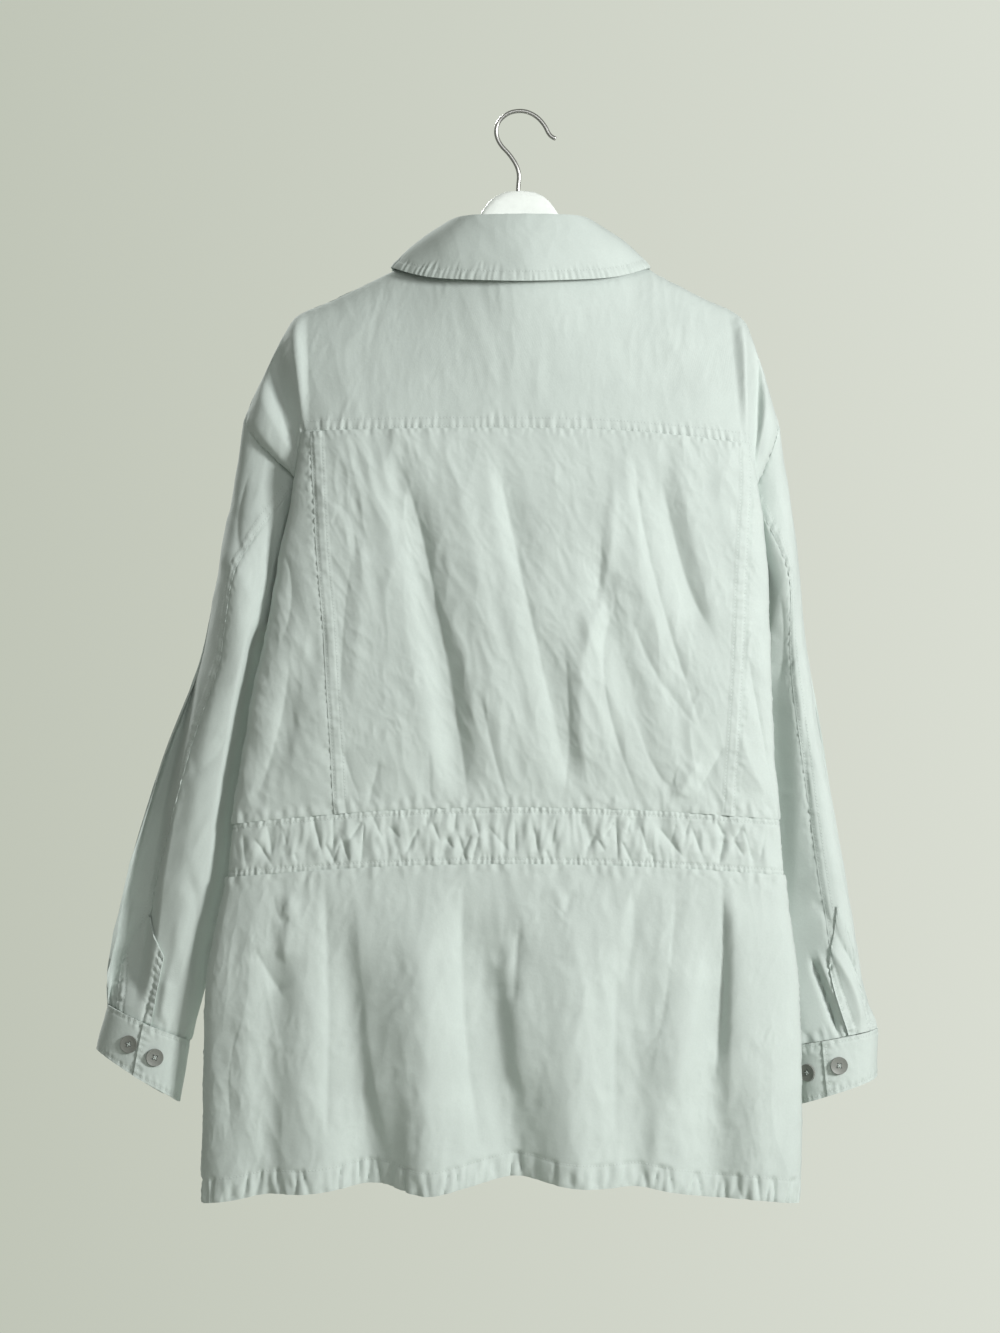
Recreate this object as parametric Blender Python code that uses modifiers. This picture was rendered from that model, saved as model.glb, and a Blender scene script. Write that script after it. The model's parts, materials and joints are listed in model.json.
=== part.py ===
"""Cargo jacket hung on a hanger, back towards -Y, hook at the origin."""
import math

import bpy
import numpy as np
from mathutils import Matrix, Vector, kdtree

MM = 0.001

# Named sizes in millimetres
WALL = 1.5
SEAM_GAP = 0.3
YOKE_SEAM = -289.0
UNDERARM = -456.0
CASING_TOP = -630.0
CASING_FOOT = -681.0
HEM = -970.0
NECK_W = 0.30
GATHERS = 23
GATHER_DEPTH = 2.6
SIDE_ROUND = 14.0
BUTTON_RADIUS = 8.0
BUTTON_THICK = 2.6
HANGER_HALF = 5.0
HANGER_TALL = 20.0
HANGER_GAP = 2.3
HOOK_WIRE = 2.2

# Body sections from the yoke seam to the hem:
# height, left x, right x, left sag, right sag, back y, front y, edge y behind, edge y in front, edge drop, roundness
SECTIONS = np.array((
    (-289.0, -201.0, 211.5, -2.7, -15.0, -54.0, 36.0, -8.0, 18.0, -42.0, 0.42),
    (-334.0, -207.0, 218.0, -3.0, -12.0, -58.0, 40.0, -9.0, 16.0, -22.0, 0.42),
    (-388.0, -216.0, 222.3, -2.0, -9.0, -61.0, 43.0, -12.0, 0.0, -8.0, 0.45),
    (-456.0, -227.0, 224.6, -5.0, -6.0, -63.0, 46.0, -20.0, -20.0, 0.0, 0.50),
    (-528.0, -242.0, 226.8, -6.0, -6.0, -62.0, 46.0, -22.0, -22.0, 0.0, 0.52),
    (-580.0, -251.0, 230.0, -9.0, -8.0, -59.0, 45.0, -22.0, -22.0, 0.0, 0.54),
    (-630.0, -260.0, 235.0, -16.0, -12.0, -54.0, 42.0, -22.0, -22.0, 0.0, 0.55),
    (-681.0, -265.0, 239.4, -13.0, -11.0, -55.0, 44.0, -22.0, -22.0, 0.0, 0.56),
    (-728.0, -274.5, 246.0, -13.0, -13.0, -60.0, 48.0, -22.0, -22.0, 0.0, 0.58),
    (-772.0, -283.0, 251.5, -14.0, -14.0, -64.0, 50.0, -22.0, -22.0, 0.0, 0.60),
    (-834.0, -285.5, 253.8, -15.0, -15.0, -67.0, 52.0, -22.0, -22.0, 0.0, 0.60),
    (-922.0, -287.0, 253.8, -17.0, -17.0, -69.0, 54.0, -22.0, -22.0, 0.0, 0.60),
    (-970.0, -288.0, 251.0, -18.0, -18.0, -70.0, 55.0, -22.0, -22.0, 0.0, 0.60),
))

# Shoulder line, one row a station from the centre out:
# station, left x, left z, right x, right z, y behind, front x, front y, front z
RIDGE = np.array((
    (0.00, 0.0, -142.0, 0.0, -142.0, -54.0, 0.0, 48.0, -205.0),
    (0.15, -42.0, -138.0, 45.0, -138.0, -44.0, 50.0, 34.0, -168.0),
    (0.30, -72.0, -124.2, 78.0, -123.3, 0.0, 75.0, 0.0, -124.0),
    (0.45, -114.3, -144.0, 118.5, -144.9, 0.0, 116.0, 0.0, -144.0),
    (0.70, -171.0, -171.0, 166.5, -169.0, 0.0, 168.0, 0.0, -170.0),
    (0.82, -202.5, -185.4, 199.8, -185.4, 0.0, 201.0, 0.0, -185.4),
    (0.86, -212.4, -199.0, 207.5, -197.0, 0.0, 210.0, 0.0, -198.0),
    (0.90, -225.0, -223.2, 217.8, -224.1, 0.0, 221.0, 0.0, -224.0),
    (0.95, -239.4, -253.0, 226.8, -254.0, 0.0, 233.0, 0.0, -254.0),
    (1.00, -250.2, -278.1, 234.9, -283.5, 0.0, 242.0, 0.0, -280.0),
))

# Cap of the shoulder: station, stand-out behind on the left, on the right, in front
CAP = np.array((
    (0.00, 0.0, 0.0, 0.0),
    (0.30, 0.0, 0.0, 8.0),
    (0.78, 0.0, 0.0, 8.0),
    (0.84, 7.0, 7.0, 8.0),
    (0.90, -9.0, -9.0, 9.0),
    (0.95, 20.0, 12.0, 16.0),
    (1.00, 36.0, 24.0, 26.0),
))

# Princess seams: height, station on the left, station on the right
PRINCESS = np.array((
    (-289.0, -0.775, 0.865),
    (-388.0, -0.650, 0.750),
    (-528.0, -0.500, 0.692),
    (-630.0, -0.428, 0.626),
))

# Large folds of the back: top x, top z, foot x, foot z, half width, depth (inwards positive)
BACK_FOLDS = np.array((
    (-108.0, -330.0, -50.0, -625.0, 17.0, 9.0),
    (-20.0, -320.0, 5.0, -420.0, 14.0, 4.0),
    (120.0, -320.0, 162.0, -480.0, 15.0, 5.0),
    (65.0, -400.0, 108.0, -560.0, 14.0, 5.0),
    (22.0, -480.0, 46.0, -605.0, 13.0, 4.0),
    (-185.0, -470.0, -215.0, -600.0, 13.0, 4.0),
))

# Skirt folds of the back: x at the waist, x at the hem, half width, depth at the hem, hem lift
SKIRT_FOLDS = np.array((
    (-215.0, -228.0, 18.0, 9.0, 3.0),
    (-158.0, -132.0, 26.0, 20.0, 6.0),
    (-90.0, -85.0, 24.0, -10.0, -7.0),
    (-42.0, -4.0, 26.0, 19.0, 9.0),
    (45.0, 50.0, 26.0, -8.0, 0.0),
    (106.0, 104.0, 20.0, 8.0, 4.0),
    (176.0, 172.0, 24.0, 17.0, -2.0),
))

# Sleeve sections from the armhole to the cuff: outer x, outer z, inner x, inner z, back y, front y
SLEEVE_LEFT = np.array((
    (-268.0, -386.0, -239.0, -474.0, -44.0, 50.0),
    (-290.0, -496.0, -247.5, -524.0, -38.0, 50.0),
    (-324.0, -585.0, -259.0, -587.0, -34.0, 48.0),
    (-355.5, -687.0, -273.0, -690.0, -30.0, 44.0),
    (-374.0, -774.0, -289.0, -784.0, -26.0, 40.0),
    (-375.0, -811.0, -301.0, -844.0, -20.0, 32.0),
))
SLEEVE_RIGHT = np.array((
    (252.0, -392.0, 236.0, -474.0, -28.0, 46.0),
    (261.0, -480.0, 227.0, -528.0, -17.0, 58.0),
    (279.0, -588.0, 213.0, -596.0, -13.0, 66.0),
    (293.0, -669.0, 217.0, -680.0, -12.0, 64.0),
    (313.0, -782.0, 231.0, -796.0, -10.0, 60.0),
    (327.0, -834.0, 245.0, -850.0, -6.0, 52.0),
))
# Foot of each cuff: outer x, outer z, inner x, inner z, back y, front y
CUFF_LEFT = np.array((-385.0, -852.0, -310.0, -900.0, -19.0, 30.0))
CUFF_RIGHT = np.array((326.5, -878.0, 253.0, -904.0, -6.0, 50.0))

# Turn of the cuff band with its overlap, the angle of its outer end, and its buttons: fastened one, spare one
CUFF_TURN = 2.0 * math.pi + 0.75
CUFF_END = {"left": 1.50, "right": 1.83}
CUFF_BUTTONS = {"left": (1.86, 1.27), "right": (1.53, 2.26)}

# Collar, a row from the centre back to the centre front:
# station, neck x, neck y, neck z, fold x, fold y, fold z, edge x, edge y, edge z
COLLAR = np.array((
    (0.00, 0.0, -54.0, -142.0, 0.0, -44.0, -96.0, 0.0, -66.0, -153.5),
    (0.25, 43.5, -44.0, -138.0, 45.0, -35.0, -96.0, 76.0, -50.0, -151.0),
    (0.50, 75.0, 0.0, -124.0, 68.0, 0.0, -103.0, 116.0, -6.0, -140.0),
    (0.75, 50.0, 34.0, -168.0, 44.0, 33.0, -128.0, 104.0, 34.0, -168.0),
    (1.00, 2.0, 48.0, -205.0, 4.0, 48.0, -166.0, 48.0, 62.0, -224.0),
))

# Head of the hanger: x, top z, height
HANGER_HEAD = [(-72.0, -131.5, 20.0), (-56.0, -121.0, 22.0), (-44.0, -106.0, 26.0), (-36.0, -92.0, 31.0),
               (-29.0, -79.5, 37.0), (-16.0, -71.5, 41.0), (0.0, -69.5, 42.0), (16.0, -71.5, 41.0),
               (27.0, -78.5, 38.0), (35.0, -91.0, 32.0), (44.0, -106.0, 26.0), (56.0, -121.0, 22.0),
               (74.0, -131.5, 20.0)]

# Hook wire from its stem to the open end: x, z
HOOK = ((-1.5, -82.0), (-1.5, -68.0), (-1.0, -53.0), (-9.0, -38.0), (-18.5, -27.0), (-21.5, -14.0),
        (-15.0, -3.0), (-1.0, 2.2), (13.0, -1.5), (22.5, -11.0), (27.5, -20.0), (33.0, -23.5))


def remove_all():
    """Empties the scene."""
    for obj in list(bpy.data.objects):
        bpy.data.objects.remove(obj, do_unlink=True)


def curve(table, column, at):
    """Smooth line through one column of a table, without overshoot."""
    order = np.argsort(table[:, 0])
    station = table[order, 0]
    value = table[order, column]
    step = np.diff(station)
    slope = np.diff(value) / step
    both = slope[:-1] * slope[1:]
    tangent = np.empty_like(value)
    tangent[0] = slope[0]
    tangent[-1] = slope[-1]
    tangent[1:-1] = np.where(both > 0.0, 2.0 * both / (slope[:-1] + slope[1:] + 1e-12), 0.0)
    at = np.asarray(at, dtype=float)
    k = np.clip(np.searchsorted(station, at, side="right") - 1, 0, len(step) - 1)
    t = (at - station[k]) / step[k]
    a = (1.0 + 2.0 * t) * (1.0 - t) ** 2
    b = t * (1.0 - t) ** 2
    c = t * t * (3.0 - 2.0 * t)
    d = t * t * (t - 1.0)
    return a * value[k] + b * step[k] * tangent[k] + c * value[k + 1] + d * step[k] * tangent[k + 1]


def ease(value, start, end):
    """Smooth step from 0 at start to 1 at end."""
    t = np.clip((np.asarray(value, dtype=float) - start) / (end - start), 0.0, 1.0)
    return t * t * (3.0 - 2.0 * t)


def back_folds(x, z):
    """Depth of the large folds between the yoke and the casing."""
    depth = np.zeros_like(x)
    for top_x, top_z, foot_x, foot_z, half, deep in BACK_FOLDS:
        along = (z - top_z) / (foot_z - top_z)
        centre = top_x + (foot_x - top_x) * np.clip(along, -0.3, 1.3)
        reach = ease(along, -0.15, 0.25) * ease(along, 1.15, 0.8)
        depth += deep * reach * np.exp(-((x - centre) / half) ** 2)
    return depth


def skirt_folds(x, h):
    """Depth and lift of the skirt's folds at a height."""
    depth = np.zeros_like(x)
    lift = np.zeros_like(x)
    along = np.clip((CASING_FOOT - h) / (CASING_FOOT - HEM), 0.0, 1.0)
    for waist_x, hem_x, half, deep, rise in SKIRT_FOLDS:
        centre = waist_x + (hem_x - waist_x) * along
        shape = np.exp(-((x - centre) / (half * (0.75 + 0.45 * along))) ** 2)
        depth += deep * ease(along, 0.0, 0.45) * (0.7 + 0.3 * along) * shape
        lift += rise * ease(along, 0.5, 1.0) * shape
    return depth, lift


def gathers(x, h):
    """Ripple of the drawn-in casing: uneven gathers that lean to and fro down the band."""
    along = np.clip((CASING_TOP - h) / (CASING_TOP - CASING_FOOT), 0.0, 1.0)
    turn = x / 500.0 * GATHERS
    lean = 0.16 * np.sin(2.3 * turn + 0.7) * np.sin(math.pi * along)
    wave = np.sin(2.0 * math.pi * (turn + 0.22 * np.sin(1.7 * turn) + lean))
    strength = (0.25 + 0.75 * np.sin(math.pi * along)) * (0.75 + 0.25 * np.sin(2.9 * turn + 1.1))
    inside = (h < CASING_TOP + 0.01) & (h > CASING_FOOT - 0.01)
    return np.where(inside, GATHER_DEPTH * wave * strength, 0.0)


def body(w, h, face, band=False):
    """Point of the body below the yoke: station across, height, face -1 behind or +1 in front."""
    w, h = np.broadcast_arrays(np.asarray(w, dtype=float), np.asarray(h, dtype=float))
    row = [curve(SECTIONS, k, h) for k in range(1, 11)]
    left, right, sag_left, sag_right, back, front, edge_back, edge_front, drop, round_ = row
    u = np.sin(0.5 * math.pi * w)
    c = np.clip(np.cos(0.5 * math.pi * w), 0.0, 1.0)
    x = 0.5 * (left + right) + 0.5 * (right - left) * u
    behind = face < 0
    edge = edge_back if behind else np.where(h <= UNDERARM, edge_back, edge_front)
    far = back if behind else front
    if behind:
        y = edge + (far - edge) * c ** round_
    else:
        corner = SIDE_ROUND * (0.25 + 0.75 * ease(h, UNDERARM + 45.0, UNDERARM - 25.0))
        y = edge + corner * c ** 0.7 + (far - edge - corner) * c ** 2
    z = h + np.where(u < 0.0, sag_left, sag_right) * u * u
    hold = np.minimum(1.0, 2.2 * c)
    if behind:
        sink, lift = skirt_folds(x, h)
        upper = back_folds(x, z) * ease(h, YOKE_SEAM, YOKE_SEAM - 40.0) * ease(h, CASING_TOP, CASING_TOP + 30.0)
        y = y + hold * (sink + upper)
        z = z + hold * lift + drop * ease(np.abs(w), 0.84, 1.0)
    if band:
        fade = hold if behind else hold * ease(np.abs(x), 22.0, 40.0)
        y = y + face * fade * gathers(x, h)
    return np.stack((x, y, z), axis=-1)


def shoulder(w, t, face):
    """Point between the shoulder line (t = 0) and the yoke seam's height (t = 1)."""
    w, t = np.broadcast_arrays(np.asarray(w, dtype=float), np.asarray(t, dtype=float))
    a = np.abs(w)
    foot = body(w, np.full_like(w, YOKE_SEAM), face)
    left = w < 0.0
    top_x = np.where(left, curve(RIDGE, 1, a), curve(RIDGE, 3, a))
    top_z = np.where(left, curve(RIDGE, 2, a), curve(RIDGE, 4, a))
    top_y = curve(RIDGE, 5, a)
    if face > 0:
        inner = a < NECK_W - 1e-6
        top_x = np.where(inner, np.sign(w) * curve(RIDGE, 6, a) * np.where(left, 0.96, 1.04), top_x)
        top_z = np.where(inner, curve(RIDGE, 8, a), top_z)
        top_y = np.where(inner, curve(RIDGE, 7, a), top_y)
    drop = t * t
    swell = np.sin(math.pi * t)
    bulge = np.where(left, curve(CAP, 1, a), curve(CAP, 2, a)) if face < 0 else curve(CAP, 3, a)
    bulge = bulge * np.where(bulge < 0.0, swell * swell, swell)
    x = top_x + (foot[..., 0] - top_x) * drop
    y = top_y + (foot[..., 1] - top_y) * t + face * bulge
    z = top_z + (foot[..., 2] - top_z) * drop - 8.0 * ease(a, 0.9, 1.0) * swell
    return np.stack((x, y, z), axis=-1)


# Panels are grids of points that share their normals along the seams
UP = np.array((0.0, 0.0, 1.0))
TOP_LEVEL = ((0, UP),)
FOOT_LEVEL = ((-1, UP),)
BAND_LEVEL = ((0, UP), (-1, UP))
panels = {}


def add_panel(name, grid, colour, level=(), wall=WALL):
    """Keeps a panel's outer grid until every seam is known."""
    grid = np.asarray(grid, dtype=float)
    panels[name] = {"grid": grid, "normal": grid_normals(grid), "colour": colour, "level": level, "wall": wall}


def grid_normals(grid):
    """Unit normals of a grid of points, rows down and columns across."""
    down = np.gradient(grid, axis=0)
    across = np.gradient(grid, axis=1)
    normal = np.cross(down, across)
    return normal / (np.linalg.norm(normal, axis=-1, keepdims=True) + 1e-12)


def levelled(normal, level):
    """Normals with those of the level rows turned square to an axis."""
    out = normal.copy()
    for row, axis in level:
        flat = out[row] - (out[row] @ axis)[:, None] * axis
        out[row] = flat / np.linalg.norm(flat, axis=-1, keepdims=True)
    return out


def raised(grid, height, level=()):
    """A grid moved out from the cloth under it."""
    return grid + height * levelled(grid_normals(grid), level)


def rim(shape):
    """Index pairs round the edge of a grid, in order."""
    rows, cols = shape
    ring = [(0, j) for j in range(cols)]
    ring += [(i, cols - 1) for i in range(1, rows)]
    ring += [(rows - 1, j) for j in range(cols - 2, -1, -1)]
    ring += [(i, 0) for i in range(rows - 2, 0, -1)]
    return ring


def share_normals():
    """Gives coincident seam points of neighbouring panels one normal."""
    points = []
    for name, item in panels.items():
        for i, j in rim(item["grid"].shape[:2]):
            points.append((name, i, j))
    tree = kdtree.KDTree(len(points))
    for k, (name, i, j) in enumerate(points):
        tree.insert(Vector(panels[name]["grid"][i, j]), k)
    tree.balance()
    shared = []
    for name, i, j in points:
        total = np.zeros(3)
        for _, k, _ in tree.find_range(Vector(panels[name]["grid"][i, j]), 0.02):
            other, oi, oj = points[k]
            normal = panels[other]["normal"][oi, oj]
            if normal @ panels[name]["normal"][i, j] > -0.6:
                total += normal
        shared.append(total / (np.linalg.norm(total) + 1e-12))
    for (name, i, j), normal in zip(points, shared):
        panels[name]["normal"][i, j] = normal
    for item in panels.values():
        item["normal"] = levelled(item["normal"], item["level"])


def inset(grid, normal, gap):
    """Draws the edge of a grid in by a gap, square to that edge and along the cloth."""
    out = grid.copy()
    for axis in (0, 1):
        work = np.moveaxis(out, axis, 0)
        base = np.moveaxis(grid, axis, 0)
        facing = np.moveaxis(normal, axis, 0)
        for edge, inner in ((0, 1), (-1, -2)):
            square = np.cross(facing[edge], np.gradient(base[edge], axis=0))
            square /= np.linalg.norm(square, axis=-1, keepdims=True) + 1e-12
            inward = np.sum(square * (base[inner] - base[edge]), axis=-1, keepdims=True)
            work[edge] += gap * square * np.where(inward < 0.0, -1.0, 1.0)
    return out


def material(name, colour, roughness=0.9, metallic=0.0):
    """Principled material of one sub-part."""
    mat = bpy.data.materials.new(name)
    mat.use_nodes = True
    shader = mat.node_tree.nodes["Principled BSDF"]
    shader.inputs["Base Color"].default_value = (*colour, 1.0)
    shader.inputs["Roughness"].default_value = roughness
    shader.inputs["Metallic"].default_value = metallic
    return mat


def place(obj, name, mat):
    """Names an object, gives it its material and puts it in the part's collection under its root."""
    obj.name = name
    obj.data.name = name
    obj.data.materials.clear()
    obj.data.materials.append(mat)
    for holder in list(obj.users_collection):
        holder.objects.unlink(obj)
    parts.objects.link(obj)
    obj.parent = root
    return obj


def mesh_object(name, points, faces, mat):
    """Object from points in millimetres."""
    mesh = bpy.data.meshes.new(name)
    mesh.from_pydata([tuple(p) for p in np.asarray(points) * MM], [], faces)
    mesh.validate()
    obj = bpy.data.objects.new(name, mesh)
    bpy.context.scene.collection.objects.link(obj)
    return place(obj, name, mat)


def make_panel(name, item):
    """Closed wall between a panel's outer grid and its inner one."""
    outer = inset(item["grid"], item["normal"], 0.5 * SEAM_GAP)
    inner = outer - item["wall"] * item["normal"]
    rows, cols = outer.shape[:2]
    count = rows * cols
    faces = []
    for i in range(rows - 1):
        for j in range(cols - 1):
            a = i * cols + j
            quad = (a, a + cols, a + cols + 1, a + 1)
            faces.append(quad)
            faces.append(tuple(count + k for k in reversed(quad)))
    ring = [i * cols + j for i, j in rim((rows, cols))]
    points = np.concatenate((outer.reshape(-1, 3), inner.reshape(-1, 3)))
    key = item["grid"].reshape(-1, 3) @ np.array((0.31, 0.17, 1.0))
    for a, b in zip(ring, ring[1:] + ring[:1]):
        if key[a] < key[b]:
            faces.append((a, b, count + b))
            faces.append((a, count + b, count + a))
        else:
            faces.append((a, b, count + a))
            faces.append((b, count + b, count + a))
    return mesh_object(name, points, faces, material(name, item["colour"]))


def linear(start, end, count):
    """Evenly spaced stations."""
    return np.linspace(start, end, count)


CLOTH = (0.56, 0.63, 0.58)
CLOTH_DARK = (0.53, 0.60, 0.55)
WHITE = (0.86, 0.90, 0.86)
STEEL = (0.62, 0.62, 0.60)
BUTTON = (0.36, 0.38, 0.34)

remove_all()
parts = bpy.data.collections.new("cargo_jacket")
cutters = bpy.data.collections.new("cutters")
bpy.context.scene.collection.children.link(parts)
bpy.context.scene.collection.children.link(cutters)
root = bpy.data.objects.new("cargo_jacket_root", None)
parts.objects.link(root)

# Rows and stations shared by the pieces, so that the seams meet point to point
yoke_rows = np.array((0.0, 0.10, 0.22, 0.36, 0.52, 0.68, 0.84, 1.0))
armhole_rows = linear(YOKE_SEAM, UNDERARM, 6)
lower_rows = linear(UNDERARM, CASING_TOP, 7)[1:]
body_rows = np.concatenate((armhole_rows, lower_rows))
seam_left = curve(PRINCESS, 1, body_rows)
seam_right = curve(PRINCESS, 2, body_rows)
side_share = linear(0.0, 1.0, 6)
neck_left = (-NECK_W - seam_left[0]) / (seam_right[0] - seam_left[0])
neck_right = (NECK_W - seam_left[0]) / (seam_right[0] - seam_left[0])
centre_share = np.concatenate((linear(0.0, neck_left, 8), linear(neck_left, neck_right, 9)[1:],
                               linear(neck_right, 1.0, 9)[1:]))


def between(starts, ends, share):
    """A row of stations for each height, at given shares of the way across."""
    return starts[:, None] + (ends - starts)[:, None] * share[None, :]


ends_left = np.full_like(body_rows, -1.0)
ends_right = np.full_like(body_rows, 1.0)
w_side_left = between(ends_left, seam_left, side_share)
w_centre = between(seam_left, seam_right, centre_share)
w_side_right = between(seam_right, ends_right, side_share)

# Back yoke, over both shoulders
w_yoke = np.concatenate((w_side_left[0], w_centre[0][1:-1], w_side_right[0]))
add_panel("back_yoke", shoulder(w_yoke[None, :], yoke_rows[:, None], -1), CLOTH)

# Back panels below the yoke
add_panel("back_side_left", body(w_side_left, body_rows[:, None], -1), CLOTH, level=FOOT_LEVEL)
add_panel("back_center", body(w_centre, body_rows[:, None], -1), CLOTH, level=FOOT_LEVEL)
add_panel("back_side_right", body(w_side_right, body_rows[:, None], -1), CLOTH, level=FOOT_LEVEL)

# Fronts above the waist
w_neck = np.array((0.0, 0.043, 0.12, 0.21))
w_front_right = np.concatenate((w_neck, w_yoke[w_yoke > NECK_W - 0.001]))
w_front_left = np.concatenate((-w_neck, w_yoke[w_yoke < 0.001 - NECK_W][::-1]))


def front_grid(stations):
    """A front from the shoulder seam and the neck to the casing."""
    upper = shoulder(stations[None, :], yoke_rows[:, None], 1)
    lower = body(stations[None, :], body_rows[1:, None], 1)
    return np.concatenate((upper, lower))


add_panel("front_right", front_grid(w_front_right[::-1]), CLOTH, level=FOOT_LEVEL)
add_panel("front_left", front_grid(w_front_left), CLOTH, level=FOOT_LEVEL)

# Drawn-in casing round the waist
casing_rows = linear(CASING_TOP, CASING_FOOT, 4)
w_band = np.arcsin(linear(-1.0, 1.0, 89)) * 2.0 / math.pi
w_half = np.arcsin(linear(0.0, 1.0, 33)) * 2.0 / math.pi
add_panel("waist_casing_back", body(w_band[None, :], casing_rows[:, None], -1, True), CLOTH_DARK, level=BAND_LEVEL)
add_panel("waist_casing_front_right", body(w_half[None, ::-1], casing_rows[:, None], 1, True), CLOTH_DARK,
          level=BAND_LEVEL)
add_panel("waist_casing_front_left", body(-w_half[None, :], casing_rows[:, None], 1, True), CLOTH_DARK,
          level=BAND_LEVEL)

# Skirt below the casing
skirt_rows = CASING_FOOT + (HEM - CASING_FOOT) * np.array((0.0, 0.07, 0.18, 0.32, 0.48, 0.64, 0.82, 1.0))
w_skirt = linear(-1.0, 1.0, 43)
add_panel("skirt_back", body(w_skirt[None, :], skirt_rows[:, None], -1), CLOTH, level=TOP_LEVEL)
w_skirt_front = np.array((0.0, 0.043, 0.10, 0.16, 0.22, 0.29, 0.36, 0.43, 0.50, 0.57, 0.64, 0.72, 0.80, 0.87, 0.94, 1.0))
add_panel("skirt_front_right", body(w_skirt_front[None, ::-1], skirt_rows[:, None], 1), CLOTH, level=TOP_LEVEL)
add_panel("skirt_front_left", body(-w_skirt_front[None, :], skirt_rows[:, None], 1), CLOTH, level=TOP_LEVEL)


# Sleeves
def armhole(sign):
    """Loop of the armhole from the top of the cap, round behind, under the arm and up the front."""
    w = float(sign)
    cap = shoulder(w, yoke_rows, -1)
    behind = body(w, armhole_rows[1:], -1)
    ahead = body(w, armhole_rows[1:-1], 1)[::-1]
    chest = shoulder(w, yoke_rows, 1)[::-1]
    return np.concatenate((cap, behind, ahead, chest[:-1]))


def sleeve_ring(row, angle):
    """Flattened ring of a sleeve: angle 0 outside, a quarter turn behind, a half turn inside."""
    outer_x, outer_z, inner_x, inner_z, back, front = row
    c = np.cos(angle)
    s = np.sin(angle)
    middle = 0.5 * (back + front)
    x = 0.5 * (outer_x + inner_x) + 0.5 * (outer_x - inner_x) * c
    z = 0.5 * (outer_z + inner_z) + 0.5 * (outer_z - inner_z) * c
    y = middle - 0.5 * (front - back) * s
    return np.stack((x, y, z), axis=-1)


def loop_angles(loop, under):
    """Turn of each armhole point: half a turn from its start to the underarm, half a turn back."""
    closed = np.concatenate((loop, loop[:1]))
    step = np.linalg.norm(np.diff(closed, axis=0), axis=1)
    run = np.concatenate(([0.0], np.cumsum(step)))
    first = run[:under + 1] / run[under]
    second = (run[under:] - run[under]) / (run[-1] - run[under])
    return np.concatenate((math.pi * first, math.pi * (1.0 + second[1:])))[:-1]


def sleeve_grid(sign, table, per_span):
    """Sleeve from its armhole to the top of its cuff, rows down and columns round."""
    loop = armhole(sign)
    under = len(yoke_rows) - 1 + len(armhole_rows) - 1
    angle = loop_angles(loop, under)
    rings = [loop] + [sleeve_ring(row, angle) for row in table]
    rows = []
    last = len(rings) - 1
    for k in range(last):
        before = rings[max(k - 1, 0)]
        after = rings[min(k + 2, last)]
        for t in np.linspace(0.0, 1.0, per_span, endpoint=False):
            m0 = 0.4 * (rings[k + 1] - before) if k else 0.8 * (rings[1] - rings[0])
            m1 = 0.4 * (after - rings[k])
            rows.append((1 + 2 * t) * (1 - t) ** 2 * rings[k] + t * (1 - t) ** 2 * m0
                        + t * t * (3 - 2 * t) * rings[k + 1] + t * t * (t - 1) * m1)
    rows.append(rings[last])
    return np.array(rows), angle, under


def wrapped(grid, first, last):
    """Columns from first to last round a closed grid."""
    columns = [k % grid.shape[1] for k in range(first, last + 1)]
    return grid[:, columns]


def cuff_grid(top, foot, end, sign, count=25):
    """Cuff band: once round and on over its own start, up to an end angle on the outside."""
    turn = np.linspace(0.0, CUFF_TURN, count)
    angle = end + sign * (turn - CUFF_TURN)
    lift = 2.4 * ease(turn, 2.0 * math.pi - 0.9, 2.0 * math.pi - 0.1)
    rows = []
    for share in (0.008, 0.5, 1.0):
        row = top + (foot - top) * share
        ring = sleeve_ring(row, angle)
        centre = sleeve_ring(row, np.array((0.0, math.pi))).mean(axis=0)
        out = ring - centre
        out[:, 2] = 0.0
        out /= np.linalg.norm(out, axis=1, keepdims=True)
        rows.append(ring + out * (lift + 0.6)[:, None])
    return np.array(rows)[:, ::-1]


for side, sign, table, foot in (("left", -1, SLEEVE_LEFT, CUFF_LEFT), ("right", 1, SLEEVE_RIGHT, CUFF_RIGHT)):
    grid, angle, under = sleeve_grid(sign, table, 2)
    loop_count = grid.shape[1]
    back_seam = 7
    front_seam = loop_count - 6
    top_piece = wrapped(grid, front_seam - loop_count, back_seam)
    under_piece = wrapped(grid, back_seam, front_seam)
    slit = wrapped(grid, back_seam - 1, back_seam + 1)[-4:]
    if sign > 0:
        top_piece = top_piece[:, ::-1]
        under_piece = under_piece[:, ::-1]
        slit = slit[:, ::-1]
    outer_x, outer_z, inner_x, inner_z = table[-1][:4]
    axis = np.array((outer_z - inner_z, 0.0, inner_x - outer_x))
    axis /= np.linalg.norm(axis)
    add_panel("sleeve_top_" + side, top_piece, CLOTH, level=((-1, axis),))
    add_panel("sleeve_under_" + side, under_piece, CLOTH, level=((-1, axis),))
    cuff = cuff_grid(table[-1], foot, CUFF_END[side], sign)
    add_panel("cuff_" + side, cuff, CLOTH_DARK, level=((0, axis),), wall=1.7)
    add_panel("sleeve_placket_" + side, raised(slit, SEAM_GAP + WALL, ((-1, axis),)), CLOTH_DARK,
              level=((-1, axis),))

# Collar
collar_turn = linear(-1.0, 1.0, 29)


def collar_line(first, turn):
    """One of the collar's three lines: the neck, the fold or the edge."""
    a = np.abs(turn)
    x = np.sign(turn) * curve(COLLAR, first, a) + 2.0 * (1.0 - a)
    return np.stack((x, curve(COLLAR, first + 1, a), curve(COLLAR, first + 2, a)), axis=-1)


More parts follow.
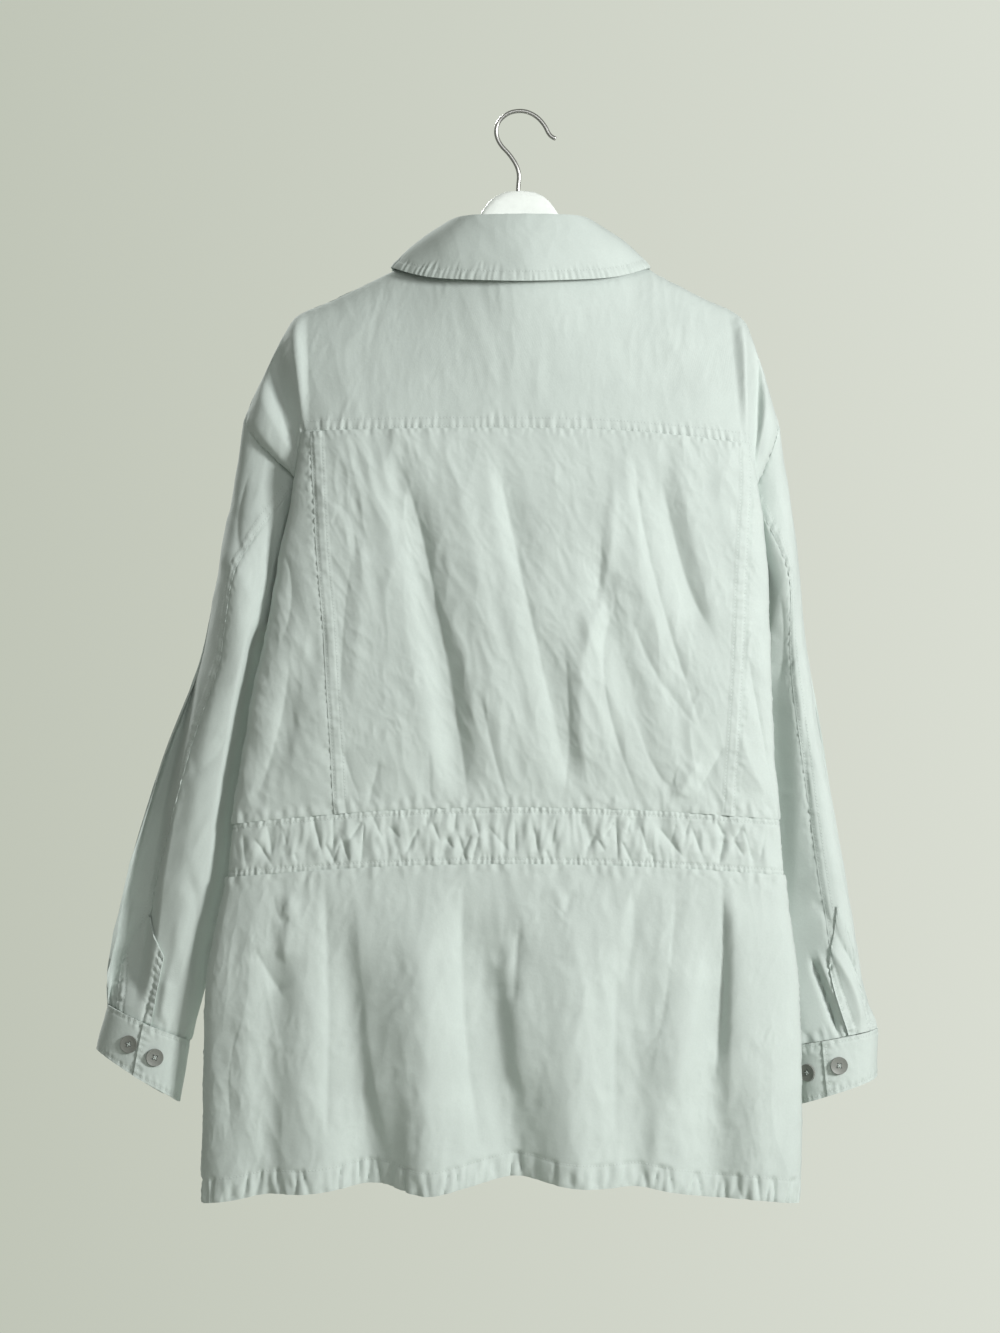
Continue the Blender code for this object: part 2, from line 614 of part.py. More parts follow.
neck_line = collar_line(1, collar_turn)
fold_line = collar_line(4, collar_turn)
edge_line = collar_line(7, collar_turn)
stand_rows = []
for share in linear(0.0, 1.0, 4):
    stand_rows.append(fold_line + (neck_line - fold_line) * share + np.array((0.0, 0.0, 2.6 * share)))
add_panel("collar_stand", np.array(stand_rows), CLOTH_DARK, level=())
fall_rows = []
out = grid_normals(np.array(stand_rows))[0]
out[:, 2] = 0.0
out /= np.linalg.norm(out, axis=1, keepdims=True)
for share in linear(0.0, 1.0, 6):
    puff = 5.0 * math.sin(math.pi * share) ** 0.8
    point = fold_line + (edge_line - fold_line) * share + out * (1.75 + 0.7 * puff) + np.array((0.0, 0.0, puff))
    fall_rows.append(point)
add_panel("collar_fall", np.array(fall_rows), CLOTH)


# Front placket over the meeting fronts
def placket_grid():
    """Strip down the centre front, moved out from the panels under it."""
    strip = np.array((0.043, 0.0, -0.043))
    upper = shoulder(strip[None, :], yoke_rows[:, None], 1)
    rows = np.concatenate((body_rows[1:], casing_rows[1:], skirt_rows[1:]))
    lower = body(strip[None, :], rows[:, None], 1)
    return np.concatenate((upper, lower))


add_panel("front_placket", raised(placket_grid(), SEAM_GAP + WALL + 0.3), CLOTH_DARK)


# Patch pockets with flaps on the skirt fronts
def patch(sign, stations, rows, layers):
    """Piece of the skirt front moved out by a number of cloth layers."""
    w = sign * stations if sign < 0 else stations[::-1]
    return raised(body(w[None, :], rows[:, None], 1), layers * (SEAM_GAP + WALL))


for side, sign in (("left", -1), ("right", 1)):
    add_panel("pocket_" + side, patch(sign, w_skirt_front[3:10], skirt_rows[2:7], 1.1), CLOTH_DARK)
    add_panel("flap_" + side, patch(sign, w_skirt_front[3:10], skirt_rows[1:4], 2.4), CLOTH_DARK)

share_normals()
for name, item in panels.items():
    make_panel(name, item)


# Buttons
def button(name, centre, normal):
    """Round button standing on a surface."""
    direction = Vector(normal).normalized()
    middle = Vector(centre) + direction * (0.5 * BUTTON_THICK + 0.5)
    bpy.ops.mesh.primitive_cylinder_add(vertices=14, radius=BUTTON_RADIUS * MM, depth=BUTTON_THICK * MM)
    obj = bpy.context.object
    turn = Vector((0.0, 0.0, 1.0)).rotation_difference(direction).to_matrix().to_4x4()
    obj.data.transform(Matrix.Translation(middle * MM) @ turn)
    bevel = obj.modifiers.new("Bevel", "BEVEL")
    bevel.width = 0.7 * MM
    bevel.segments = 1
    place(obj, name, material(name, BUTTON, 0.45))


def on_panel(name, row, col):
    """Outer point and normal of a panel at a fraction of its rows and columns."""
    grid = panels[name]["grid"]
    i = row * (grid.shape[0] - 1)
    j = col * (grid.shape[1] - 1)
    i0 = min(int(i), grid.shape[0] - 2)
    j0 = min(int(j), grid.shape[1] - 2)
    fi = i - i0
    fj = j - j0
    corner = grid[i0, j0], grid[i0, j0 + 1], grid[i0 + 1, j0], grid[i0 + 1, j0 + 1]
    point = ((1 - fi) * ((1 - fj) * corner[0] + fj * corner[1]) + fi * ((1 - fj) * corner[2] + fj * corner[3]))
    normal = np.cross(corner[2] + corner[3] - corner[0] - corner[1], corner[1] + corner[3] - corner[0] - corner[2])
    return point, normal / np.linalg.norm(normal)


for side, sign in (("left", -1), ("right", 1)):
    for k, angle in enumerate(CUFF_BUTTONS[side]):
        turn = (CUFF_TURN + sign * (angle - CUFF_END[side])) % (2.0 * math.pi)
        if k == 0:
            turn += 2.0 * math.pi
        point, normal = on_panel("cuff_" + side, 0.5, 1.0 - turn / CUFF_TURN)
        button("cuff_button_%s_%d" % (side, k + 1), point, normal)
for k, share in enumerate((0.20, 0.34, 0.48, 0.62, 0.76, 0.90)):
    point, normal = on_panel("front_placket", share, 0.5)
    button("front_button_%d" % (k + 1), point, normal)


# Hanger
def hanger_sections():
    """Top line of the hanger from the left tip to the right one, and its height below that line."""
    rows = []
    arm = w_yoke[(np.abs(w_yoke) > NECK_W + 0.04) & (np.abs(w_yoke) < 0.79)]
    for w in arm[arm < 0.0]:
        point = shoulder(w, 0.0, -1)
        rows.append((point[0], point[2] - HANGER_GAP, HANGER_TALL - 6.0 * abs(w)))
    rows += HANGER_HEAD
    for w in arm[arm > 0.0]:
        point = shoulder(w, 0.0, -1)
        rows.append((point[0], point[2] - HANGER_GAP, HANGER_TALL - 6.0 * abs(w)))
    return rows


def make_hanger():
    """Solid moulded hanger with rounded long edges and a socket for the hook."""
    sections = hanger_sections()
    ring = 10
    points = []
    faces = []
    for x, top, tall in sections:
        for k in range(ring):
            angle = 2.0 * math.pi * k / ring
            y = HANGER_HALF * math.cos(angle)
            z = HANGER_HALF * math.sin(angle)
            points.append((x, y, top - HANGER_HALF + z if z > 0.01 else top - tall + HANGER_HALF + z))
    for i in range(len(sections) - 1):
        for k in range(ring):
            a = i * ring + k
            b = i * ring + (k + 1) % ring
            faces.append((a, a + ring, b + ring, b))
    faces.append(tuple(range(ring)))
    last = (len(sections) - 1) * ring
    faces.append(tuple(last + k for k in reversed(range(ring))))
    obj = mesh_object("hanger_body", points, faces, material("hanger_body", WHITE, 0.35))
    bpy.ops.mesh.primitive_cylinder_add(vertices=20, radius=(HOOK_WIRE + 0.3) * MM, depth=30.0 * MM,
                                        location=(HOOK[0][0] * MM, 0.0, (HOOK[0][1] - 0.3 + 15.0) * MM))
    cutter = bpy.context.object
    cutter.name = "hook_socket_cutter"
    cutter.hide_render = True
    cutter.display_type = "WIRE"
    for holder in list(cutter.users_collection):
        holder.objects.unlink(cutter)
    cutters.objects.link(cutter)
    cut = obj.modifiers.new("Socket", "BOOLEAN")
    cut.operation = "DIFFERENCE"
    cut.solver = "EXACT"
    cut.object = cutter


def make_hook():
    """Bent wire hook."""
    data = bpy.data.curves.new("hanger_hook", "CURVE")
    data.dimensions = "3D"
    data.bevel_depth = HOOK_WIRE * MM
    data.bevel_resolution = 2
    data.resolution_u = 3
    data.use_fill_caps = True
    spline = data.splines.new("BEZIER")
    spline.bezier_points.add(len(HOOK) - 1)
    for point, (x, z) in zip(spline.bezier_points, HOOK):
        point.co = (x * MM, 0.0, z * MM)
        point.handle_left_type = "AUTO"
        point.handle_right_type = "AUTO"
    obj = bpy.data.objects.new("hanger_hook", data)
    bpy.context.scene.collection.objects.link(obj)
    place(obj, "hanger_hook", material("hanger_hook", STEEL, 0.2, 1.0))


make_hanger()
make_hook()
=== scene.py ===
"""Looks of the cargo jacket on its hanger: sewn cloth shells, buttons, hanger, hook and a plain studio."""
from __future__ import annotations

import json
import logging
import math
from dataclasses import dataclass
from enum import Enum

import bpy
import numpy as np
from mathutils import Matrix, Vector

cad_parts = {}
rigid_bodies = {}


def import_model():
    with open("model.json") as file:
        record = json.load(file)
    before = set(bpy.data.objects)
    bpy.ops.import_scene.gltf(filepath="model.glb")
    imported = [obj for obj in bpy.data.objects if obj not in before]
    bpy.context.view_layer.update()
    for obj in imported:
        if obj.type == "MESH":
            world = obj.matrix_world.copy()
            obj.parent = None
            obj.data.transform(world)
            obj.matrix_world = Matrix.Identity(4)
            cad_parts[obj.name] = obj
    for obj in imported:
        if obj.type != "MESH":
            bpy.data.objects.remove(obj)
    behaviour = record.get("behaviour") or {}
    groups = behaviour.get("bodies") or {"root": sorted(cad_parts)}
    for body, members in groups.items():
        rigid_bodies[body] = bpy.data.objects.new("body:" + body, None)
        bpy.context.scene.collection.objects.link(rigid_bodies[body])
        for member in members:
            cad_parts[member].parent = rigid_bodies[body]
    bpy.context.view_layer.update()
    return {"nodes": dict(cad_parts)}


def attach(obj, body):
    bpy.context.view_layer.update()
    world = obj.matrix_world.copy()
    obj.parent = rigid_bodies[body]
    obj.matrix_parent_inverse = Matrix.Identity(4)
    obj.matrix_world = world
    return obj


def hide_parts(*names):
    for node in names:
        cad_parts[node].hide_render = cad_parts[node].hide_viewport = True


Array = np.ndarray
Material = bpy.types.Material
Object = bpy.types.Object
Socket = bpy.types.NodeSocket

LOG = logging.getLogger("cargo_jacket")
MM = 0.001
FAR = 99.0
BODY = "root"
# Stations over which the fronts come out from under the placket
PLACKET_CLEAR = (0.046, 0.08)
# How soon folds and gathers grow in from the side seams
SIDE_HOLD = 2.2


def chart(*rows: tuple[float, ...]) -> Array:
    """Makes a table of floats from rows of numbers."""
    return np.array(rows, dtype=float)


# Body sections from the yoke seam to the hem, in millimetres: height, left x, right x, left sag, right sag,
# back y, front y, edge y behind, edge y in front, edge drop, roundness
SECTIONS = chart(
    (-289, -201, 211.5, -2.7, -15, -54, 36, -8, 18, -42, 0.42),
    (-334, -207, 218, -3, -12, -58, 40, -9, 16, -22, 0.42),
    (-388, -216, 222.3, -2, -9, -61, 43, -12, 0, -8, 0.45),
    (-456, -227, 224.6, -5, -6, -63, 46, -20, -20, 0, 0.50),
    (-528, -242, 226.8, -6, -6, -62, 46, -22, -22, 0, 0.52),
    (-580, -251, 230, -9, -8, -59, 45, -22, -22, 0, 0.54),
    (-630, -260, 235, -16, -12, -54, 42, -22, -22, 0, 0.55),
    (-681, -265, 239.4, -13, -11, -55, 44, -22, -22, 0, 0.56),
    (-728, -274.5, 246, -13, -13, -60, 48, -22, -22, 0, 0.58),
    (-772, -283, 251.5, -14, -14, -64, 50, -22, -22, 0, 0.60),
    (-834, -285.5, 253.8, -15, -15, -67, 52, -22, -22, 0, 0.60),
    (-922, -287, 253.8, -17, -17, -69, 54, -22, -22, 0, 0.60),
    (-970, -288, 251, -18, -18, -70, 55, -22, -22, 0, 0.60),
)

# Shoulder line, one row a station from the centre out:
# station, left x, left z, right x, right z, y behind, front x, front y, front z
RIDGE = chart(
    (0.00, 0, -142, 0, -142, -54, 0, 48, -205),
    (0.15, -42, -138, 45, -138, -44, 50, 34, -168),
    (0.30, -72, -124.2, 78, -123.3, 0, 75, 0, -124),
    (0.45, -114.3, -144, 118.5, -144.9, 0, 116, 0, -144),
    (0.70, -171, -171, 166.5, -169, 0, 168, 0, -170),
    (0.82, -202.5, -185.4, 199.8, -185.4, 0, 201, 0, -185.4),
    (0.86, -212.4, -199, 207.5, -197, 0, 210, 0, -198),
    (0.90, -225, -223.2, 217.8, -224.1, 0, 221, 0, -224),
    (0.95, -239.4, -253, 226.8, -254, 0, 233, 0, -254),
    (1.00, -250.2, -278.1, 234.9, -283.5, 0, 242, 0, -280),
)

# Cap of the shoulder: station, stand-out behind on the left, on the right, in front
CAP = chart(
    (0.00, 0, 0, 0),
    (0.30, 0, 0, 8),
    (0.78, 0, 0, 8),
    (0.84, 7, 7, 8),
    (0.90, -8, -8, 9),
    (0.95, 11, 9, 16),
    (0.98, 13, 11, 22),
    (1.00, 8, 8, 26),
)

# Princess seams: height, station on the left, station on the right
PRINCESS = chart(
    (-289, -0.775, 0.865),
    (-388, -0.650, 0.750),
    (-528, -0.500, 0.692),
    (-630, -0.428, 0.626),
)

# Large folds of the back: top x, top z, foot x, foot z, half width, depth (inwards positive)
BACK_FOLDS = chart(
    (-108, -330, -50, -625, 17, 9),
    (-20, -320, 5, -420, 14, 4),
    (120, -320, 162, -480, 15, 5),
    (65, -400, 108, -560, 14, 5),
    (22, -480, 46, -605, 13, 4),
    (-185, -470, -215, -600, 13, 4),
)

# Skirt folds of the back: x at the waist, x at the hem, half width, depth at the hem, hem lift
SKIRT_FOLDS = chart(
    (-215, -228, 18, 9, 3),
    (-158, -132, 26, 20, 6),
    (-90, -85, 24, -10, -7),
    (-42, -4, 26, 19, 9),
    (45, 50, 26, -8, 0),
    (106, 104, 20, 8, 4),
    (176, 172, 24, 17, -2),
)

# Sleeve sections from the armhole to the cuff: outer x, outer z, inner x, inner z, back y, front y
SLEEVE_LEFT = chart(
    (-268, -386, -228, -474, -38, 50),
    (-290, -496, -234, -524, -38, 50),
    (-324, -585, -247, -587, -34, 48),
    (-355.5, -687, -265, -690, -30, 44),
    (-374, -774, -285, -784, -26, 40),
    (-375, -811, -301, -844, -20, 32),
)
SLEEVE_RIGHT = chart(
    (252, -392, 222, -474, -28, 46),
    (261, -480, 214, -528, -17, 58),
    (279, -588, 211, -596, -13, 66),
    (293, -669, 217, -680, -12, 64),
    (313, -782, 231, -796, -10, 60),
    (327, -834, 245, -850, -6, 52),
)
# Foot of each cuff: outer x, outer z, inner x, inner z, back y, front y
CUFF_LEFT = chart((-385, -852, -310, -900, -19, 30))[0]
CUFF_RIGHT = chart((326.5, -878, 253, -904, -6, 50))[0]

# Collar, a row from the centre back to the centre front:
# station, neck x, neck y, neck z, fold x, fold y, fold z, edge x, edge y, edge z
COLLAR = chart(
    (0.00, 0, -54, -142, 0, -44, -96, 0, -59.5, -158),
    (0.25, 43.5, -44, -138, 45, -35, -96, 76, -38, -153.5),
    (0.50, 75, 0, -124, 68, 0, -103, 116, -4.5, -141),
    (0.75, 50, 34, -168, 44, 33, -128, 104, 34, -168),
    (1.00, 2, 48, -205, 4, 48, -166, 48, 62, -224),
)


class Face(Enum):
    """Side of the body a point lies on."""

    BEHIND = -1
    AHEAD = 1


class Edge(Enum):
    """Edge of a panel's grid of points."""

    TOP = "first row"
    FOOT = "last row"
    START = "first column"
    END = "last column"


def curve(table: Array, column: int, at: Array) -> Array:
    """Runs a smooth line through one column of a table, without overshoot.

    Args:
        table: Rows whose first column is the station.
        column: Column to follow.
        at: Stations asked for.

    Returns:
        The column's value at each station.
    """
    order = np.argsort(table[:, 0])
    station = table[order, 0]
    value = table[order, column]
    step = np.diff(station)
    slope = np.diff(value) / step
    both = slope[:-1] * slope[1:]
    tangent = np.empty_like(value)
    tangent[0] = slope[0]
    tangent[-1] = slope[-1]
    tangent[1:-1] = np.where(both > 0.0, 2.0 * both / (slope[:-1] + slope[1:] + 1e-12), 0.0)
    at = np.asarray(at, dtype=float)
    k = np.clip(np.searchsorted(station, at, side="right") - 1, 0, len(step) - 1)
    t = (at - station[k]) / step[k]
    a = (1.0 + 2.0 * t) * (1.0 - t) ** 2
    b = t * (1.0 - t) ** 2
    c = t * t * (3.0 - 2.0 * t)
    d = t * t * (t - 1.0)
    return a * value[k] + b * step[k] * tangent[k] + c * value[k + 1] + d * step[k] * tangent[k + 1]


def ease(value: Array, start: float, end: float) -> Array:
    """Steps smoothly from 0 at start to 1 at end, which may lie below start."""
    t = np.clip((np.asarray(value, dtype=float) - start) / (end - start), 0.0, 1.0)
    return t * t * (3.0 - 2.0 * t)


def ripple(x: Array, y: Array, size: float, seed: float) -> Array:
    """Gives a soft uneven field between about -1 and 1, the same on each run.

    Args:
        x: First coordinate in millimetres.
        y: Second coordinate in millimetres.
        size: Typical length of a bump in millimetres.
        seed: Number that tells one field from another.

    Returns:
        The field at each point.
    """
    k = 2.0 * math.pi / size
    total = np.sin(k * (0.83 * x + 0.36 * y) + 1.7 * seed + 1.3 * np.sin(0.41 * k * (y - 0.3 * x) + seed))
    total += np.sin(k * (0.29 * x - 0.77 * y) + 2.9 * seed
                    + 1.1 * np.sin(0.37 * k * (x + 0.5 * y) + 2.0 * seed))
    total += 0.8 * np.sin(k * (0.57 * x + 0.61 * y) * 1.37 + 0.6 * seed + np.sin(0.53 * k * x + 3.0 * seed))
    return total / 2.8


def lattice(x: Array, y: Array, seed: float) -> Array:
    """Gives lattice noise between about -0.7 and 0.7, the same on each run.

    Args:
        x: First coordinate, one lattice cell a unit.
        y: Second coordinate.
        seed: Number that tells one field from another.

    Returns:
        The noise at each point.
    """
    i, j = np.floor(x), np.floor(y)
    fx, fy = x - i, y - j
    u = fx * fx * fx * (fx * (6.0 * fx - 15.0) + 10.0)
    v = fy * fy * fy * (fy * (6.0 * fy - 15.0) + 10.0)
    corner = []
    for a, b in ((0, 0), (1, 0), (0, 1), (1, 1)):
        mixed = np.sin((i + a) * 12.9898 + (j + b) * 78.233 + seed * 37.719) * 43758.5453
        angle = 2.0 * math.pi * (mixed - np.floor(mixed))
        corner.append(np.cos(angle) * (fx - a) + np.sin(angle) * (fy - b))
    low = corner[0] + u * (corner[1] - corner[0])
    high = corner[2] + u * (corner[3] - corner[2])
    return low + v * (high - low)


@dataclass(frozen=True)
class Net:
    """Patchy net of fine creases, drawn out along one direction, with lengths in millimetres."""

    high: float
    size: float
    long: float
    lean: float
    seed: float

    def height(self, x: Array, z: Array) -> Array:
        """Gives the height of the creases, between about -0.5 and 1 times the net's own.

        Args:
            x: Coordinate across.
            z: Coordinate down.

        Returns:
            Height at each point.
        """
        across = (x * math.cos(self.lean) + z * math.sin(self.lean)) / self.size
        along = (x * math.sin(self.lean) - z * math.cos(self.lean)) / (self.size * self.long)
        bend = 0.8 * lattice(0.6 * across, 0.6 * along, self.seed + 3.0)
        coarse = 1.0 - 2.6 * np.abs(lattice(across + bend, along + bend, self.seed))
        fine = 1.0 - 2.6 * np.abs(lattice(2.3 * across - bend, 2.3 * along, self.seed + 1.0))
        patch = 0.55 + 0.9 * lattice(0.45 * across, 0.45 * along, self.seed + 2.0)
        return self.high * ((0.7 * coarse + 0.3 * fine) * np.clip(patch, 0.1, 1.0))


def rumpled(grid: Array, *nets: Net, round_arm: bool = False) -> Array:
    """Adds up nets of creases over a grid, taken across by x or, round an arm, by x and y."""
    across = grid[..., 0] + grid[..., 1] if round_arm else grid[..., 0]
    return sum(net.height(across, grid[..., 2]) for net in nets)


def grid_normals(grid: Array) -> Array:
    """Finds the outward unit normals of a grid of points, rows down and columns across."""
    normal = np.cross(np.gradient(grid, axis=0), np.gradient(grid, axis=1))
    return normal / (np.linalg.norm(normal, axis=-1, keepdims=True) + 1e-12)


def lowest(height: Array, reach: int) -> Array:
    """Gives the least height near each point.

    Args:
        height: Heights, rows down and columns across.
        reach: Points looked at on each side.

    Returns:
        The least height within reach.
    """
    out = height
    for axis in (0, 1):
        edges = [(reach, reach) if k == axis else (0, 0) for k in (0, 1)]
        padded = np.pad(out, edges, mode="edge")
        out = np.lib.stride_tricks.sliding_window_view(padded, 2 * reach + 1, axis=axis).min(axis=-1)
    return out


def sampled(grid: Array, row: Array, column: Array) -> Array:
    """Reads a grid of points between its rows and columns.

    Args:
        grid: Points, rows down and columns across.
        row: Rows asked for, with fractions.
        column: Columns asked for, with fractions.

    Returns:
        A point for each row and column asked for.
    """
    i = np.clip(np.floor(row).astype(int), 0, grid.shape[0] - 2)
    j = np.clip(np.floor(column).astype(int), 0, grid.shape[1] - 2)
    u, v = (row - i)[..., None], (column - j)[..., None]
    above = (1.0 - v) * grid[i, j] + v * grid[i, j + 1]
    below = (1.0 - v) * grid[i + 1, j] + v * grid[i + 1, j + 1]
    return (1.0 - u) * above + u * below


def quads(index: Array) -> Array:
    """Lists the faces between neighbouring points of a grid of point numbers."""
    corners = (index[:-1, :-1], index[1:, :-1], index[1:, 1:], index[:-1, 1:])
    return np.stack(corners, axis=-1).reshape(-1, 4)


def relaxed(grid: Array, passes: int, weight: Array) -> Array:
    """Evens out a grid across its columns, with its first and last columns held.

    Args:
        grid: Points, rows down and columns across.
        passes: Times each point is drawn towards its neighbours.
        weight: Share of the evening, by column.

    Returns:
        The evened grid.
    """
    out = grid.copy()
    for _ in range(passes):
        out[:, 1:-1] += 0.5 * (0.5 * (out[:, :-2] + out[:, 2:]) - out[:, 1:-1])
    return grid + (out - grid) * weight[None, :, None]


def creased(x: Array, z: Array, table: Array) -> Array:
    """Adds up the creases of a table as soft troughs and ridges.

    Args:
        x: Coordinate across in millimetres.
        z: Coordinate down in millimetres.
        table: Rows of start x and z, middle x and z, end x and z, half width and height (troughs below 0).

    Returns:
        The height that the creases add at each point.
    """
    total = np.zeros_like(x)
    steps = np.linspace(0.0, 1.0, 13)
    for x0, z0, x1, z1, x2, z2, half, high in table:
        near = np.full(x.shape, 1e9)
        where = np.zeros(x.shape)
        px = (1 - steps) ** 2 * x0 + 2 * steps * (1 - steps) * (2 * x1 - 0.5 * (x0 + x2)) + steps ** 2 * x2
        pz = (1 - steps) ** 2 * z0 + 2 * steps * (1 - steps) * (2 * z1 - 0.5 * (z0 + z2)) + steps ** 2 * z2
        for k in range(len(steps) - 1):
            dx, dz = px[k + 1] - px[k], pz[k + 1] - pz[k]
            share = np.clip(((x - px[k]) * dx + (z - pz[k]) * dz) / (dx * dx + dz * dz + 1e-9), 0.0, 1.0)
            gap = np.hypot(x - px[k] - share * dx, z - pz[k] - share * dz)
            closer = gap < near
            near = np.where(closer, gap, near)
            where = np.where(closer, steps[k] + share * (steps[1] - steps[0]), where)
        taper = ease(where, 0.0, 0.22) * ease(where, 1.0, 0.78)
        power = 1.05 if high < 0.0 else 1.6
        total += high * (0.15 + 0.85 * taper) * np.exp(-(near / (half * (0.45 + 0.55 * taper))) ** power)
    return total


@dataclass(frozen=True)
class Form:
    """The jacket's large form, with sizes in millimetres."""

    yoke_seam: float = -289.0
    underarm: float = -456.0
    casing_top: float = -630.0
    casing_foot: float = -681.0
    hem: float = -970.0
    neck: float = 0.30
    side_round: float = 14.0

    def back_folds(self, x: Array, z: Array) -> Array:
        """Gives the depth of the large folds between the yoke and the casing.

        Args:
            x: Coordinate across.
            z: Height.

        Returns:
            Depth inwards at each point.
        """
        depth = np.zeros_like(x)
        for top_x, top_z, foot_x, foot_z, half, deep in BACK_FOLDS:
            along = (z - top_z) / (foot_z - top_z)
            centre = top_x + (foot_x - top_x) * np.clip(along, -0.3, 1.3)
            reach = ease(along, -0.15, 0.25) * ease(along, 1.15, 0.8)
            depth += deep * reach * np.exp(-((x - centre) / half) ** 2)
        return depth

    def skirt_folds(self, x: Array, h: Array) -> tuple[Array, Array]:
        """Gives the depth and the lift of the skirt's folds.

        Args:
            x: Coordinate across.
            h: Nominal height.

        Returns:
            Depth inwards and lift of the hem at each point.
        """
        depth = np.zeros_like(x)
        lift = np.zeros_like(x)
        along = np.clip((self.casing_foot - h) / (self.casing_foot - self.hem), 0.0, 1.0)
        for waist_x, hem_x, half, deep, rise in SKIRT_FOLDS:
            centre = waist_x + (hem_x - waist_x) * along
            shape = np.exp(-((x - centre) / (half * (0.75 + 0.45 * along))) ** 2)
            depth += deep * ease(along, 0.0, 0.45) * (0.7 + 0.3 * along) * shape
            lift += rise * ease(along, 0.5, 1.0) * shape
        return depth, lift

    def body(self, w: Array, h: Array, face: Face) -> Array:
        """Gives points of the body below the yoke.

        Args:
            w: Stations across, -1 at the left side and 1 at the right one.
            h: Nominal heights.
            face: Behind or ahead.

        Returns:
            Points in millimetres.
        """
        w, h = np.broadcast_arrays(np.asarray(w, dtype=float), np.asarray(h, dtype=float))
        row = [curve(SECTIONS, k, h) for k in range(1, 11)]
        left, right, sag_left, sag_right, back, front, edge_back, edge_front, drop, round_ = row
        u = np.sin(0.5 * math.pi * w)
        c = np.clip(np.cos(0.5 * math.pi * w), 0.0, 1.0)
        x = 0.5 * (left + right) + 0.5 * (right - left) * u
        z = h + np.where(u < 0.0, sag_left, sag_right) * u * u
        if face is Face.AHEAD:
            edge = np.where(h <= self.underarm, edge_back, edge_front)
            corner = self.side_round * (0.25 + 0.75 * ease(h, self.underarm + 45.0, self.underarm - 25.0))
            y = edge + corner * c ** 0.7 + (front - edge - corner) * c ** 2
            return np.stack((x, y, z), axis=-1)
        hold = np.minimum(1.0, SIDE_HOLD * c)
        sink, lift = self.skirt_folds(x, h)
        fade = ease(h, self.yoke_seam, self.yoke_seam - 40.0)
        fade = fade * ease(h, self.casing_top, self.casing_top + 30.0)
        y = edge_back + (back - edge_back) * c ** round_ + hold * (sink + self.back_folds(x, z) * fade)
        z = z + hold * lift + drop * ease(np.abs(w), 0.84, 1.0)
        return np.stack((x, y, z), axis=-1)

    def shoulder(self, w: Array, t: Array, face: Face) -> Array:
        """Gives points between the shoulder line and the height of the yoke seam.

        Args:
            w: Stations across.
            t: 0 at the shoulder line, 1 at the yoke seam.
            face: Behind or ahead.

        Returns:
            Points in millimetres.
        """
        w, t = np.broadcast_arrays(np.asarray(w, dtype=float), np.asarray(t, dtype=float))
        a = np.abs(w)
        foot = self.body(w, np.full_like(w, self.yoke_seam), face)
        left = w < 0.0
        top_x = np.where(left, curve(RIDGE, 1, a), curve(RIDGE, 3, a))
        top_z = np.where(left, curve(RIDGE, 2, a), curve(RIDGE, 4, a))
        top_y = curve(RIDGE, 5, a)
        bulge = np.where(left, curve(CAP, 1, a), curve(CAP, 2, a))
        if face is Face.AHEAD:
            inner = a < self.neck - 1e-6
            top_x = np.where(inner, np.sign(w) * curve(RIDGE, 6, a) * np.where(left, 0.96, 1.04), top_x)
            top_z = np.where(inner, curve(RIDGE, 8, a), top_z)
            top_y = np.where(inner, curve(RIDGE, 7, a), top_y)
            bulge = curve(CAP, 3, a)
        swell = np.sin(math.pi * t)
        bulge = bulge * np.where(bulge < 0.0, swell * swell, swell)
        x = top_x + (foot[..., 0] - top_x) * t * t
        y = top_y + (foot[..., 1] - top_y) * t + face.value * bulge
        z = top_z + (foot[..., 2] - top_z) * t * t - 8.0 * ease(a, 0.9, 1.0) * swell
        return np.stack((x, y, z), axis=-1)

    def ring(self, row: Array, angle: Array) -> Array:
        """Gives the flattened ring of a sleeve or cuff.

        Args:
            row: Outer x and z, inner x and z, back y and front y.
            angle: 0 outside, a quarter turn behind, a half turn inside.

        Returns:
            Points in millimetres.
        """
        outer_x, outer_z, inner_x, inner_z, back, front = row
        c = np.cos(angle)
        x = 0.5 * (outer_x + inner_x) + 0.5 * (outer_x - inner_x) * c
        z = 0.5 * (outer_z + inner_z) + 0.5 * (outer_z - inner_z) * c
        y = 0.5 * (back + front) - 0.5 * (front - back) * np.sin(angle)
        return np.stack((x, y, z), axis=-1)


@dataclass(frozen=True)
class Seam:
    """Sewn edge of a panel, with sizes in millimetres."""

    edge: Edge
    rows: tuple[float, ...] = ()
    pucker: float = 0.45
    pitch: float = 7.5
    reach: float = 8.0
    felled: float = 0.0
    groove: float = 0.5
    nip: float = 0.0


